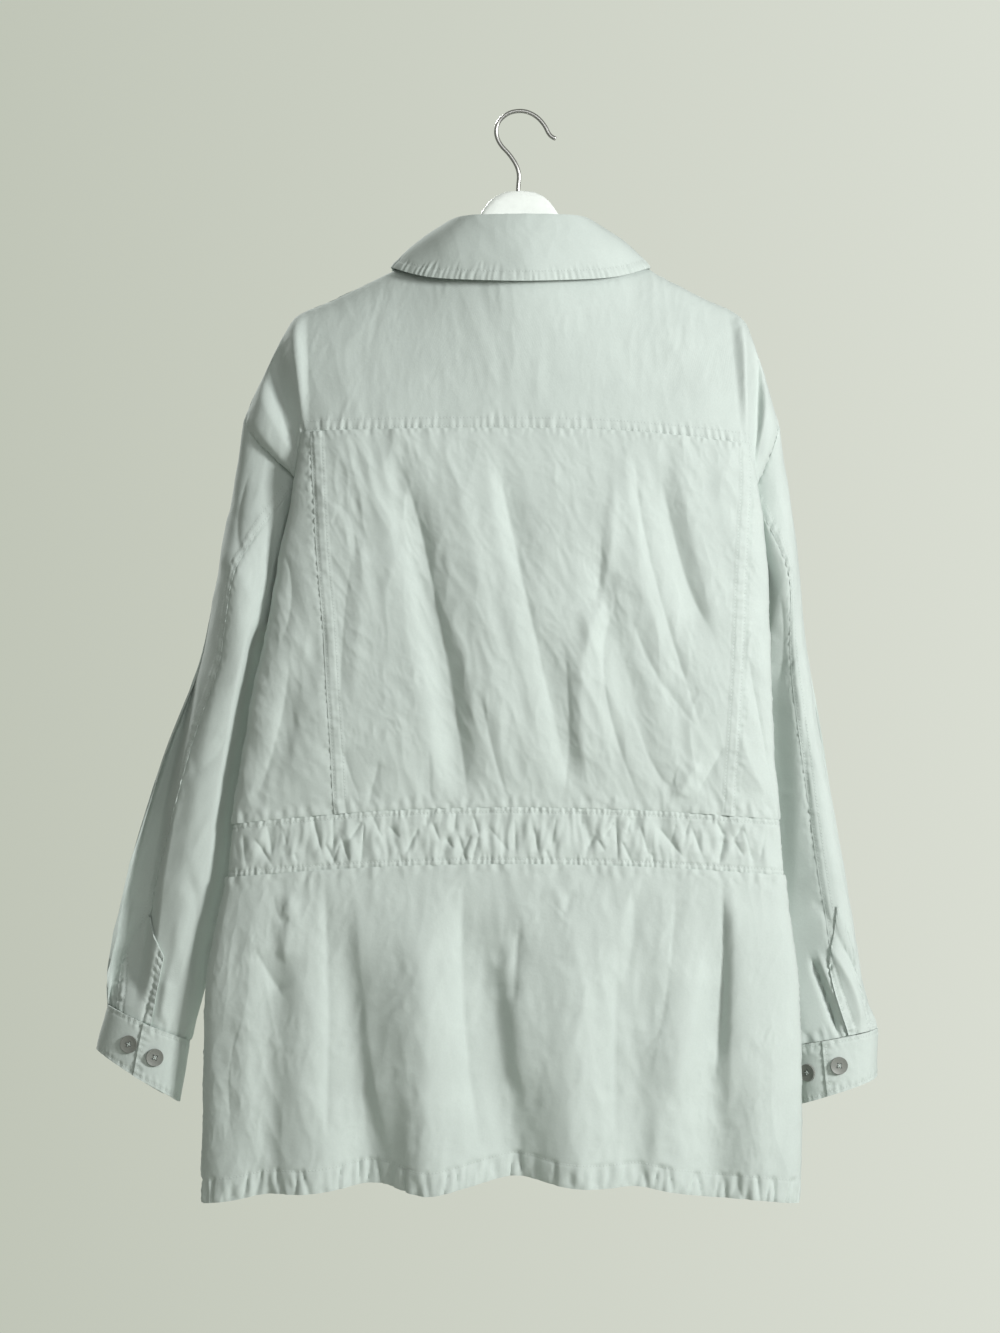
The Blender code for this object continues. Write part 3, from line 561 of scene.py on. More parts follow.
@dataclass
class Panel:
    """One cut piece of cloth: a fine grid of points, its sewn edges and its creases."""

    name: str
    grid: Array
    seams: tuple[Seam, ...] = ()
    creases: Array | None = None
    wall: float = 1.4
    allowance: float = 10.0
    seam_share: float = 1.15
    least_share: float = 0.31
    sharp_degrees: float = 60.0
    stitch_depth: float = 0.55
    skip: int = 3
    cut_width: float = 0.0
    face: Face = Face.BEHIND
    free: Array | float = 1.0

    def distances(self, edge: Edge) -> tuple[Array, Array]:
        """Measures the cloth from one edge.

        Args:
            edge: Edge to measure from.

        Returns:
            The distance in from the edge and the run along it, in millimetres.
        """
        across = np.zeros(self.grid.shape[:2])
        across[:, 1:] = np.cumsum(np.linalg.norm(np.diff(self.grid, axis=1), axis=-1), axis=1)
        down = np.zeros(self.grid.shape[:2])
        down[1:] = np.cumsum(np.linalg.norm(np.diff(self.grid, axis=0), axis=-1), axis=0)
        if edge is Edge.TOP:
            return down, np.broadcast_to(across[:1], down.shape)
        if edge is Edge.FOOT:
            return down[-1:] - down, np.broadcast_to(across[-1:], down.shape)
        if edge is Edge.START:
            return across, np.broadcast_to(down[:, :1], down.shape)
        return across[:, -1:] - across, np.broadcast_to(down[:, -1:], down.shape)

    def sewn(self) -> tuple[Array, Array, Array, Array]:
        """Works out what the seams do to the cloth.

        Returns:
            Height added, distances to the first and second stitch row, and the run along the stitches.
        """
        shape = self.grid.shape[:2]
        height = np.zeros(shape)
        first = np.full(shape, FAR)
        second = np.full(shape, FAR)
        run = np.zeros(shape)
        nearest = np.full(shape, 1e9)
        for k, seam in enumerate(self.seams):
            depth, along = self.distances(seam.edge)
            turn = along / seam.pitch
            reach = max(seam.rows, default=0.0) + seam.reach
            even = np.sin(2.0 * math.pi * (turn + 0.9 * lattice(0.35 * turn, 0.0 * turn, 5.0 + k)))
            loose = 2.4 * lattice(1.7 * turn, depth / (1.1 * reach), 9.0 + k)
            far = reach * (0.8 + 0.7 * lattice(0.6 * turn, 0.0 * turn + 0.5, 13.0 + k))
            fade = np.clip(2.2 * (1.0 - depth / far), 0.0, 1.0)
            height += seam.pucker * (0.4 * even + 0.85 * loose) * fade
            height -= seam.groove * np.exp(-(depth / 1.6) ** 2)
            if seam.nip:
                line = np.clip(1.0 - 4.5 * np.abs(lattice(0.9 * turn, depth / 60.0, 17.0 + k)), 0.0, 1.0)
                height -= seam.nip * line ** 1.2 * ease(depth, max(seam.rows) + 4.0, max(seam.rows) - 2.0)
            if seam.felled:
                height += seam.felled * ease(depth, max(seam.rows) + 2.2, max(seam.rows) + 0.6)
            for offset in seam.rows:
                height -= self.stitch_depth * np.exp(-((depth - offset) / 1.3) ** 2)
            closer = depth < nearest
            nearest = np.where(closer, depth, nearest)
            run = np.where(closer, along, run)
            first = np.where(closer, depth - seam.rows[0] if seam.rows else FAR, first)
            second = np.where(closer, depth - seam.rows[1] if len(seam.rows) > 1 else FAR, second)
        return height, first, second, run

    def rim(self, outside: Array, inside: Array, down: Array, across: Array) -> list[list[int]]:
        """Closes the shell between its outside and its coarser inside.

        Args:
            outside: Numbers of the outer points, rows down and columns across.
            inside: Numbers of the inner points.
            down: Rows that the inside has.
            across: Columns that the inside has.

        Returns:
            Faces of the rim.
        """
        sides = (
            (outside[0], inside[0], across),
            (outside[:, -1], inside[:, -1], down),
            (outside[-1, ::-1], inside[-1, ::-1], across[-1] - across[::-1]),
            (outside[::-1, 0], inside[::-1, 0], down[-1] - down[::-1]),
        )
        faces = []
        for out, low, at in sides:
            for k in range(len(at) - 1):
                faces.append([*out[at[k]:at[k + 1] + 1].tolist(), int(low[k + 1]), int(low[k])])
        return faces

    def build(self, material: Material, extra: Array | float = 0.0) -> Object:
        """Makes the closed shell of the panel, sets it on the body in place of its solid and logs its cut.

        Args:
            material: Finish of the cloth.
            extra: Further height in millimetres at each grid point.

        Returns:
            The finished object.
        """
        normal = grid_normals(self.grid)
        height, first, second, run = self.sewn()
        if self.creases is not None:
            shown = ease(self.face.value * normal[..., 1], -0.35, 0.05)
            height = height + shown * creased(self.grid[..., 0], self.grid[..., 2], self.creases)
        height = height * self.free + extra
        outer = self.grid + height[..., None] * normal
        rows, cols = height.shape
        down = np.unique(np.append(np.arange(0, rows, self.skip), rows - 1))
        across = np.unique(np.append(np.arange(0, cols, self.skip), cols - 1))
        picked = np.ix_(down, across)
        inner = (self.grid + (lowest(height, self.skip) - self.wall)[..., None] * normal)[picked]
        index = np.arange(rows * cols).reshape(rows, cols)
        under = rows * cols + np.arange(len(down) * len(across)).reshape(len(down), len(across))
        faces = quads(index).tolist() + quads(under)[:, ::-1].tolist()
        faces += self.rim(index, under, down, across)
        mesh = bpy.data.meshes.new(self.name)
        points = np.concatenate((outer.reshape(-1, 3), inner.reshape(-1, 3))) * MM
        mesh.from_pydata(points, [], faces)
        mesh.shade_smooth()
        mesh.set_sharp_from_angle(angle=math.radians(self.sharp_degrees))
        for label, values in (("row_a", first), ("row_b", second), ("run", run)):
            data = mesh.attributes.new(label, "FLOAT", "POINT")
            hidden = np.full(under.size, FAR)
            data.data.foreach_set("value", np.concatenate((values.reshape(-1), hidden)).astype(np.float32))
        flat = np.stack((self.distances(Edge.START)[0], self.distances(Edge.TOP)[0]), axis=-1)
        flat = np.concatenate((flat.reshape(-1, 2), flat[picked].reshape(-1, 2)))
        corner = np.empty(len(mesh.loops), dtype=np.int32)
        mesh.loops.foreach_get("vertex_index", corner)
        weave = mesh.uv_layers.new(name="weave")
        weave.data.foreach_set("uv", (flat[corner] * MM).astype(np.float32).reshape(-1))
        mesh.materials.append(material)
        obj = bpy.data.objects.new("cloth_" + self.name, mesh)
        bpy.context.scene.collection.objects.link(obj)
        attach(obj, BODY)
        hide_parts(self.name)
        self.declare(outer)
        LOG.info("%s: %d faces", obj.name, len(mesh.polygons))
        return obj

    def declare(self, outer: Array) -> None:
        """States the flat cut of the panel.

        Args:
            outer: Its outer points in millimetres.
        """
        side = np.cross(outer[1:, 1:] - outer[:-1, :-1], outer[1:, :-1] - outer[:-1, 1:])
        area = 0.5 * float(np.linalg.norm(side, axis=-1).sum())
        wide = (self.cut_width or float(self.distances(Edge.START)[0].max())) + 2.0 * self.allowance
        long = float(self.distances(Edge.TOP)[0].max()) + 2.0 * self.allowance
        area = min(max(self.seam_share * area, self.least_share * wide * long), wide * long)
        LOG.info("%s: cut %.0f x %.0f mm, %.3f square metres", self.name, wide, long, area * MM * MM)


class Graph:
    """Short way to lay out the nodes of a material or of the surround."""

    def __init__(self, holder: Material | bpy.types.World, shader: str = "Principled BSDF") -> None:
        """Starts the nodes.

        Args:
            holder: New material or world.
            shader: Name of its shader node.
        """
        holder.use_nodes = True
        self.holder = holder
        self.tree = holder.node_tree
        self.shader = self.tree.nodes[shader]

    def add(self, kind: str, **values: float | str | bool) -> bpy.types.Node:
        """Adds a node.

        Args:
            kind: Type of the node, without its prefix.
            values: Settings of the node.

        Returns:
            The new node.
        """
        node = self.tree.nodes.new("ShaderNode" + kind)
        for key, value in values.items():
            setattr(node, key, value)
        return node

    def feed(self, socket: Socket, value: Socket | float | tuple[float, ...]) -> None:
        """Gives a socket a link or a constant.

        Args:
            socket: Socket to fill.
            value: Output to link, a number or a colour.
        """
        if isinstance(value, Socket):
            self.tree.links.new(value, socket)
        else:
            socket.default_value = value

    def fill(self, node: bpy.types.Node, **values: float | tuple[float, ...]) -> None:
        """Sets constants on a node's sockets, named with _ for each space."""
        for key, value in values.items():
            node.inputs[key.replace("_", " ")].default_value = value

    def math(self, operation: str, *values: Socket | float) -> Socket:
        """Adds a sum.

        Args:
            operation: Name of the operation.
            values: Its operands.

        Returns:
            The result.
        """
        node = self.add("Math", operation=operation)
        for socket, value in zip(node.inputs, values):
            self.feed(socket, value)
        return node.outputs[0]

    def total(self, *terms: tuple[Socket, float]) -> Socket:
        """Adds up sockets, each times a number.

        Args:
            terms: Sockets and numbers.

        Returns:
            The sum.
        """
        out = 0.0
        for socket, share in terms:
            out = self.math("MULTIPLY_ADD", socket, share, out)
        return out

    def step(self, value: Socket, low: float, high: float, run: str = "SMOOTHSTEP") -> Socket:
        """Adds a step from 0 to 1.

        Args:
            value: What is stepped.
            low: Value with 0.
            high: Value with 1.
            run: Kind of curve between them.

        Returns:
            The step.
        """
        node = self.add("MapRange", interpolation_type=run)
        self.feed(node.inputs["Value"], value)
        rising = float(low < high)
        self.fill(node, From_Min=min(low, high), From_Max=max(low, high))
        self.fill(node, To_Min=1.0 - rising, To_Max=rising)
        return node.outputs["Result"]

    def noise(self, vector: Socket, scale: float, detail: float) -> Socket:
        """Adds a noise.

        Args:
            vector: Coordinates.
            scale: Bumps a metre.
            detail: Number of finer layers.

        Returns:
            Noise from 0 to 1.
        """
        node = self.add("TexNoise")
        self.feed(node.inputs["Vector"], vector)
        self.fill(node, Scale=scale, Detail=detail)
        return node.outputs["Fac"]

    def tint(self, factor: Socket, low: tuple[float, ...], high: tuple[float, ...] | Socket) -> Socket:
        """Mixes two colours.

        Args:
            factor: Share of the second colour.
            low: First colour.
            high: Second colour, or an output to link.

        Returns:
            The mixed colour.
        """
        node = self.add("Mix", data_type="RGBA")
        self.feed(node.inputs["Factor"], factor)
        node.inputs[6].default_value = (*low, 1.0)
        self.feed(node.inputs[7], high if isinstance(high, Socket) else (*high, 1.0))
        return node.outputs[2]

    def bump(self, height: Socket, distance: float, strength: float) -> None:
        """Bumps the shader.

        Args:
            height: Height from 0 to 1.
            distance: Depth in metres of one unit of height.
            strength: Share of the effect.
        """
        node = self.add("Bump")
        self.fill(node, Strength=strength, Distance=distance)
        self.feed(node.inputs["Height"], height)
        self.feed(self.shader.inputs["Normal"], node.outputs["Normal"])


@dataclass(frozen=True)
class ClothFinish:
    """Washed cotton twill with its stitch rows, in millimetres, painted shade in the holes between the
    stitches, and its textures, in bumps a metre.
    """

    name: str = "sage_twill"
    colour: tuple[float, float, float] = (0.512, 0.571, 0.538)
    roughness: float = 0.92
    sheen: float = 0.12
    gloss: float = 0.15
    stitch: float = 3.1
    thread: float = 0.42
    wales: float = 420.0
    clouds: float = 26.0
    grain: float = 620.0
    nap: float = 340.0
    relief: float = 0.0005

    def material(self) -> Material:
        """Lays out the cloth's nodes.

        Returns:
            The material.
        """
        graph = Graph(bpy.data.materials.new(self.name))
        place = graph.add("TexCoord").outputs["Object"]
        weave = graph.add("UVMap", uv_map="weave").outputs["UV"]
        run = graph.add("Attribute", attribute_name="run").outputs["Fac"]
        dash = graph.math("FRACT", graph.math("DIVIDE", run, self.stitch))
        dash = graph.step(graph.math("ABSOLUTE", graph.math("SUBTRACT", dash, 0.5)), 0.42, 0.34)
        lines = []
        for label in ("row_a", "row_b"):
            gap = graph.math("ABSOLUTE", graph.add("Attribute", attribute_name=label).outputs["Fac"])
            lines.append(graph.step(gap, 1.9 * self.thread, 0.6 * self.thread))
        line = graph.math("MAXIMUM", lines[0], lines[1])
        thread = graph.math("MULTIPLY", line, dash)
        hole = graph.math("SUBTRACT", line, thread)
        mottle = graph.noise(place, self.clouds, 4.0)
        grain = graph.noise(place, self.grain, 2.0)
        # Colour varies with the mottle and grain; the holes between the stitch dashes are painted shade,
        # darker in colour, and the thread dashes a touch lighter.
        share = graph.total((mottle, 0.6), (grain, 0.4), (hole, -0.55), (thread, 0.08))
        low = tuple(0.88 * c for c in self.colour)
        high = tuple(1.12 * c for c in self.colour)
        graph.feed(graph.shader.inputs["Base Color"], graph.tint(share, low, high))
        wale = graph.add("TexWave", wave_type="BANDS", bands_direction="DIAGONAL")
        graph.feed(wale.inputs["Vector"], weave)
        graph.fill(wale, Scale=self.wales, Distortion=1.5)
        nap = graph.noise(place, self.nap, 3.0)
        height = graph.total((wale.outputs["Fac"], 0.12), (nap, 0.5), (thread, 0.5), (hole, -0.5))
        graph.bump(height, self.relief, 0.55)
        graph.fill(graph.shader, Roughness=self.roughness, Sheen_Weight=self.sheen)
        graph.fill(graph.shader, Specular_IOR_Level=self.gloss)
        return graph.holder


@dataclass(frozen=True)
class PlasticFinish:
    """Moulded plastic of one tone."""

    name: str
    colour: tuple[float, float, float]
    roughness: float = 0.35
    mottle: float = 0.06

    def material(self) -> Material:
        """Lays out the plastic's nodes.

        Returns:
            The material.
        """
        graph = Graph(bpy.data.materials.new(self.name))
        place = graph.add("TexCoord").outputs["Object"]
        low = tuple((1.0 - self.mottle) * c for c in self.colour)
        high = tuple((1.0 + self.mottle) * c for c in self.colour)
        graph.feed(graph.shader.inputs["Base Color"], graph.tint(graph.noise(place, 160.0, 3.0), low, high))
        graph.fill(graph.shader, Roughness=self.roughness)
        graph.bump(graph.noise(place, 900.0, 1.0), 0.00005, 0.15)
        return graph.holder


@dataclass(frozen=True)
class WireFinish:
    """Bright plated wire."""

    name: str = "plated_wire"
    colour: tuple[float, float, float] = (0.5, 0.5, 0.48)
    roughness: float = 0.32

    def material(self) -> Material:
        """Lays out the wire's nodes.

        Returns:
            The material.
        """
        graph = Graph(bpy.data.materials.new(self.name))
        place = graph.add("TexCoord").outputs["Object"]
        graph.fill(graph.shader, Base_Color=(*self.colour, 1.0), Metallic=1.0, Roughness=self.roughness)
        graph.bump(graph.noise(place, 500.0, 1.0), 0.00002, 0.05)
        return graph.holder


# Creases of the back: start x and z, middle x and z, end x and z, half width, height (troughs below 0)
BACK_CREASES = chart(
    (-104, -330, -76, -444, -46, -624, 8, -3.6),
    (-68, -309, -38, -421, -18, -606, 15, 3.4),
    (-122, -330, -98, -440, -74, -600, 16, 2.4),
    (-16, -340, 3, -430, 40, -590, 8, -2.8),
    (-32, -310, -16, -400, 12, -560, 12, 2.2),
    (78, -440, 55, -510, 62, -612, 10, 3.4),
    (84, -452, 76, -520, 104, -616, 7, -2.6),
    (40, -490, 44, -560, 40, -615, 9, -2.6),
    (84, -345, 82, -390, 74, -440, 7, 2),
    (72, -385, 72, -420, 66, -445, 7, -2.2),
    (104, -320, 118, -412, 162, -556, 8, -3),
    (96, -310, 104, -400, 140, -520, 10, 2.2),
    (128, -340, 148, -421, 168, -465, 8, -2.8),
    (142, -330, 160, -410, 178, -470, 9, 1.6),
    (100, -458, 122, -510, 158, -556, 9, -2.4),
    (104, -552, 124, -600, 142, -612, 8, -2.6),
    (162, -588, 150, -606, 142, -622, 7, 2.6),
    (184, -574, 172, -596, 158, -620, 6, -2.4),
    (-168, -358, -152, -372, -148, -412, 9, -1.8),
    (-150, -400, -158, -460, -162, -540, 10, -1.8),
    (-140, -380, -144, -450, -150, -540, 10, 1.6),
    (-162, -574, -154, -596, -144, -624, 6, -1.8),
    (-126, -588, -131, -606, -136, -626, 6, -2),
    (-34, -534, -24, -580, -12, -620, 6, -2),
    (-82, -578, -81, -600, -80, -626, 5, -1.2),
    (204, -490, 216, -550, 228, -615, 7, -2.4),
    (196, -560, 206, -590, 222, -622, 6, 2),
    (-208, -500, -216, -556, -236, -620, 9, -3),
    (-192, -470, -196, -530, -206, -600, 8, 2),
    (-212, -400, -206, -440, -214, -480, 7, -1.8),
)

# Creases of the skirt's back
SKIRT_CREASES = chart(
    (-176, -705, -171, -812, -174, -930, 13, -5),
    (-147, -712, -136, -812, -118, -930, 15, 5.5),
    (-52, -704, -48, -812, -36, -930, 13, -7),
    (-10, -760, -3, -822, 4, -890, 14, 5),
    (0, -732, -4, -770, -4, -808, 7, -4.2),
    (88, -760, 86, -860, 86, -930, 13, -4.5),
    (182, -704, 182, -790, 176, -870, 8, -6.5),
    (190, -704, 192, -800, 188, -910, 13, 5),
    (-238, -758, -226, -780, -214, -800, 8, -3.4),
    (-206, -704, -208, -740, -211, -772, 9, 3.6),
    (-222, -704, -216, -730, -206, -726, 6, -2),
    (46, -702, 42, -720, 36, -728, 6, -2.4),
    (30, -700, 36, -716, 44, -734, 6, 2),
    (98, -698, 102, -740, 92, -790, 8, -1.8),
    (140, -704, 134, -780, 120, -850, 12, -3.6),
    (160, -760, 150, -830, 132, -900, 12, 3.6),
    (-250, -820, -262, -870, -258, -930, 12, -3),
    (-100, -840, -96, -890, -92, -940, 8, -1.6),
)

# Creases of the fronts above and below the waist
FRONT_CREASES = chart(
    (-176, -300, -120, -420, -82, -610, 11, -3.4),
    (-146, -300, -96, -430, -56, -600, 14, 3),
    (-60, -330, -48, -420, -34, -560, 9, -2.6),
    (-196, -470, -204, -540, -214, -620, 9, -2.8),
    (-110, -560, -116, -590, -122, -626, 6, -2.2),
    (180, -310, 134, -410, 104, -600, 11, -3.4),
    (152, -300, 112, -400, 84, -560, 13, 2.8),
    (66, -340, 52, -450, 40, -600, 9, -2.8),
    (196, -480, 202, -550, 206, -622, 9, -2.8),
    (140, -570, 146, -596, 150, -628, 6, -2.2),
)
SKIRT_FRONT_CREASES = chart(
    (-232, -704, -240, -800, -244, -930, 12, -4),
    (-212, -720, -222, -820, -224, -940, 13, 3.6),
    (-120, -925, -122, -938, -124, -950, 10, -2),
    (-28, -720, -30, -820, -32, -940, 6, -2.6),
    (206, -704, 210, -800, 214, -930, 12, -4),
    (188, -730, 194, -830, 196, -940, 13, 3.6),
    (118, -925, 120, -938, 122, -950, 10, -2),
    (26, -740, 28, -840, 30, -940, 6, -2.6),
)


def around(name: str, whole: Array, half: Array) -> tuple[tuple[str, Array, Face], ...]:
    """Lists the pieces of a band round the body: the name, stations and face of each.

    Args:
        name: Start of the names.
        whole: Stations of the back piece.
        half: Stations of a front piece, from the centre out.

    Returns:
        The back piece and the two front ones.
    """
    return ((name + "_back", whole, Face.BEHIND), (name + "_front_right", half[::-1], Face.AHEAD),
            (name + "_front_left", -half, Face.AHEAD))


@dataclass
class Garment:
    """Part of the jacket, laid on its form and cut from its cloth."""

    form: Form
    cloth: Material


@dataclass
class Back(Garment):
    """Yoke and the three panels under it, joined by two princess seams."""

    yoke_rows: int = 96
    rows: int = 214
    side_columns: int = 62
    centre_columns: int = 330
    neck_passes: int = 260
    yoke_passes: int = 1800

    def spans(self) -> tuple[Array, list[Array]]:
        """Spaces the stations of the three lower panels.

        Returns:
            Heights and, for each panel, stations by row and column.
        """
        heights = np.linspace(self.form.yoke_seam, self.form.casing_top, self.rows)
        left = curve(PRINCESS, 1, heights)[:, None]
        right = curve(PRINCESS, 2, heights)[:, None]
        side = np.linspace(0.0, 1.0, self.side_columns)[None, :]
        centre = np.linspace(0.0, 1.0, self.centre_columns)[None, :]
        lefts, rights = -1.0 + (left + 1.0) * side, right + (1.0 - right) * side
        return heights, [lefts, left + (right - left) * centre, rights]

    def build(self) -> None:
        """Builds the four panels."""
        heights, stations = self.spans()
        across = np.concatenate([stations[0][0], stations[1][0][1:-1], stations[2][0]])
        down = np.linspace(0.0, 1.0, self.yoke_rows)
        yoke = self.form.shoulder(across[None, :], down[:, None], Face.BEHIND)
        sewn = (Seam(Edge.FOOT, (2.0, 9.5), 0.7, 7.5, 7.0, 0.6), Seam(Edge.START), Seam(Edge.END))
        middle = ease(np.abs(across), 0.62, 0.45)
        neck = relaxed(yoke, self.neck_passes, middle)
        yoke = neck + (relaxed(yoke, self.yoke_passes, middle) - neck) * ease(down, 0.0, 0.4)[:, None, None]
        soft = rumpled(yoke, Net(1.3, 34.0, 2.6, 0.1, 11.0), Net(0.45, 12.0, 1.8, -0.3, 31.0))
        Panel("back_yoke", yoke, sewn).build(self.cloth, soft)
        top = Seam(Edge.TOP, (), 0.5, 7.5, 9.0)
        foot = Seam(Edge.FOOT, (), 0.7, 12.0, 14.0)
        felled = ((2.0, 11.0), 0.5, 8.0, 5.0, 0.7)
        edges = (
            (top, foot, Seam(Edge.END), Seam(Edge.START)),
            (top, foot, Seam(Edge.START, *felled), Seam(Edge.END, *felled)),
            (top, foot, Seam(Edge.START), Seam(Edge.END)),
        )
        names = ("back_side_left", "back_center", "back_side_right")
        for name, station, seams in zip(names, stations, edges):
            grid = self.form.body(station, heights[:, None], Face.BEHIND)
            soft = rumpled(grid, Net(2.6, 34.0, 2.6, 0.24, 12.0), Net(0.9, 14.0, 1.8, 0.5, 32.0))
            Panel(name, grid, seams, BACK_CREASES).build(self.cloth, soft)


# Gathers of the waist band: start x, start depth below the band's top, end x, end depth, half width, height
GATHERS = chart(
    (-228, 2, -224, 33, 2.6, -2.4),
    (-239, 16, -223, 44, 2.6, -3),
    (-214, 8, -210, 26, 2.4, -1.6),
    (-203, 33, -201, 41, 2.4, -1.8),
    (-187, 0, -178, 36, 2.8, -3),
    (-175, 27, -166, 47, 2.6, -3),
    (-168, 0, -168, 34, 2.8, -2.6),
    (-162, 27, -169, 47, 2.2, -2.4),
    (-161, 22, -153, 46, 2.4, -2.8),
    (-141, 7, -153, 25, 2.6, -3.2),
    (-140, 8, -143, 49, 2.8, -3.2),
    (-134, 1, -124, 25, 3, -2.8),
    (-118, 14, -108, 26, 2.6, -2),
    (-91, 17, -103, 40, 2.6, -3),
    (-108, 40, -106, 51, 2.4, -2.2),
    (-84, 2, -84, 15, 2.2, -1.8),
    (-79, 12, -72, 30, 2.6, -2.6),
    (-58, 2, -59, 22, 2.4, -2),
    (-67, 26, -60, 37, 2.4, -2.4),
    (-55, 26, -48, 50, 2.4, -2.8),
    (-44, 24, -51, 41, 2.4, -2.4),
    (-42, 7, -37, 25, 3, -3.6),
    (-37, 25, -43, 47, 3, -3.6),
    (-28, 18, -10, 40, 3, -2),
    (-5, 10, -4, 41, 2.6, -2.2),
    (12, 18, 17, 42, 2.8, -3.2),
    (33, 6, 28, 36, 2.6, -2.4),
    (23, 38, 27, 48, 2.4, -2.4),
    (55, 2, 55, 16, 2.4, -1.8),
    (68, 23, 59, 39, 2.6, -2.4),
    (85, 11, 75, 27, 2.6, -3),
    (70, 28, 76, 38, 2.4, -2.4),
    (86, 5, 88, 49, 2.8, -2.6),
    (91, 28, 101, 49, 2.6, -3),
    (100, 5, 96, 22, 2.6, -2.4),
    (108, 14, 115, 39, 2.6, -2.6),
    (112, 46, 118, 37, 2.2, -2.2),
    (118, 37, 121, 51, 2.2, -2.4),
    (125, 15, 146, 40, 2.8, -3),
    (140, 10, 136, 28, 2.6, -2.2),
    (153, 5, 148, 22, 2.6, -2.6),
    (155, 14, 163, 37, 2.8, -3),
    (176, 5, 184, 19, 3, -3.6),
    (184, 19, 179, 46, 3, -3.6),
    (200, 9, 192, 23, 2.6, -3),
    (193, 23, 201, 36, 2.6, -2.8),
    (200, 8, 210, 41, 2.6, -2.6),
    (222, 6, 217, 36, 2.8, -2.6),
    (-250, 10, -247, 44, 3, -3.2),
)


@dataclass
class Casing(Garment):
    """Band drawn in round the waist."""

    rows: int = 50
    columns: int = 520
    front_columns: int = 150
    swell: float = 3.4
    nip_scale: tuple[float, float] = (1.6, 1.35)
    side_scale: tuple[float, float] = (2.2, -0.5)
    placket_clear: tuple[float, float] = (22.0, 40.0)

    def gathers(self, x: Array, along: Array) -> Array:
        """Gives the uneven gathers, which lean to and fro.

        Args:
            x: Coordinate across.
            along: 0 at the top of the band, 1 at its foot.

        Returns:
            Height at each point.
        """
        down = (self.form.casing_top - self.form.casing_foot) * along
        first, last = GATHERS[:, 0:2], GATHERS[:, 2:4]
        nips = np.hstack((first, 0.5 * (first + last), last, GATHERS[:, 4:6]))
        nips = nips * np.array((1.0,) * 6 + self.nip_scale)
        sides = nips * np.array((1.0,) * 6 + self.side_scale)
        sway = 7.0 * lattice(x / 30.0, down / 26.0, 21.0)
        puffs = lattice((x + sway) / 12.0, down / 44.0, 24.0)
        puffs = puffs + 0.5 * lattice((x - sway) / 6.5, down / 24.0, 25.0)
        held = 0.45 + 0.55 * np.sin(math.pi * np.clip(along, 0.0, 1.0)) ** 0.6
        wide, deep = np.broadcast_arrays(x, down)
        return held * (self.swell * puffs + creased(wide, deep, nips) + creased(wide, deep, sides)) + 0.6

    def build(self) -> None:
        """Builds the back band and the two front ones."""
        heights = np.linspace(self.form.casing_top, self.form.casing_foot, self.rows)
        along = np.linspace(0.0, 1.0, self.rows)[:, None]
        sewn = tuple(Seam(edge, (4.5,), 0.55, 5.5, 5.0) for edge in (Edge.TOP, Edge.FOOT))
        sewn += (Seam(Edge.START), Seam(Edge.END))
        whole = np.arcsin(np.linspace(-1.0, 1.0, self.columns)) * 2.0 / math.pi
        half = np.arcsin(np.linspace(0.0, 1.0, self.front_columns)) * 2.0 / math.pi
        for name, w, face in around("waist_casing", whole, half):
            grid = self.form.body(w[None, :], heights[:, None], face)
            edge = np.minimum(1.0, SIDE_HOLD * np.cos(0.5 * math.pi * w))[None, :]
            if face is Face.AHEAD:
                edge = edge * ease(np.abs(grid[:1, :, 0]), *self.placket_clear)
            Panel(name, grid, sewn).build(self.cloth, edge * self.gathers(grid[..., 0], along))


@dataclass
class Skirt(Garment):
    """Panels below the casing, with a turned hem; pockets are placed by station and share of the height."""

    rows: int = 190
    columns: int = 384
    front_columns: int = 76
    hem_stitch: float = 21.0
    pocket_inner: tuple[float, float] = (0.12, 0.155)
    pocket_outer: tuple[float, float] = (0.62, 0.575)
    flap_top: tuple[float, float] = (0.02, 0.065)
    pocket_foot: tuple[float, float] = (0.87, 0.825)

    def bare(self, w: Array, share: Array) -> Array:
        """Tells where the fronts lie bare, away from the placket, the pockets and the flaps.

        Args:
            w: Stations across.
            share: 0 at the casing, 1 at the hem.

        Returns:
            1 where the cloth is bare, 0 under another piece.
        """
        a = np.abs(w)
        across = ease(a, *self.pocket_inner) * ease(a, *self.pocket_outer)
        pocket = across * ease(share, *self.flap_top) * ease(share, *self.pocket_foot)
        return (1.0 - pocket) * ease(a, *PLACKET_CLEAR)

    def build(self) -> None:
        """Builds the back and the two fronts."""
        heights = np.linspace(self.form.casing_foot, self.form.hem, self.rows)
        hem = Seam(Edge.FOOT, (self.hem_stitch,), 0.8, 12.0, 3.0, 0.4, nip=2.4)
        sewn = (Seam(Edge.TOP, (), 0.7, 12.0, 14.0), hem, Seam(Edge.START), Seam(Edge.END))
        whole = np.linspace(-1.0, 1.0, self.columns)
        half = np.linspace(0.0, 1.0, self.front_columns)
        for name, w, face in around("skirt", whole, half):
            grid = self.form.body(w[None, :], heights[:, None], face)
            soft = rumpled(grid, Net(2.4, 36.0, 3.0, 0.06, 13.0), Net(0.9, 15.0, 1.8, -0.2, 33.0))
            creases = SKIRT_CREASES
            free = np.ones(grid.shape[:2])
            if face is Face.AHEAD:
                creases = SKIRT_FRONT_CREASES
                free = self.bare(w[None, :], np.linspace(0.0, 1.0, self.rows)[:, None])
            Panel(name, grid, sewn, creases, face=face, free=free).build(self.cloth, free * soft)


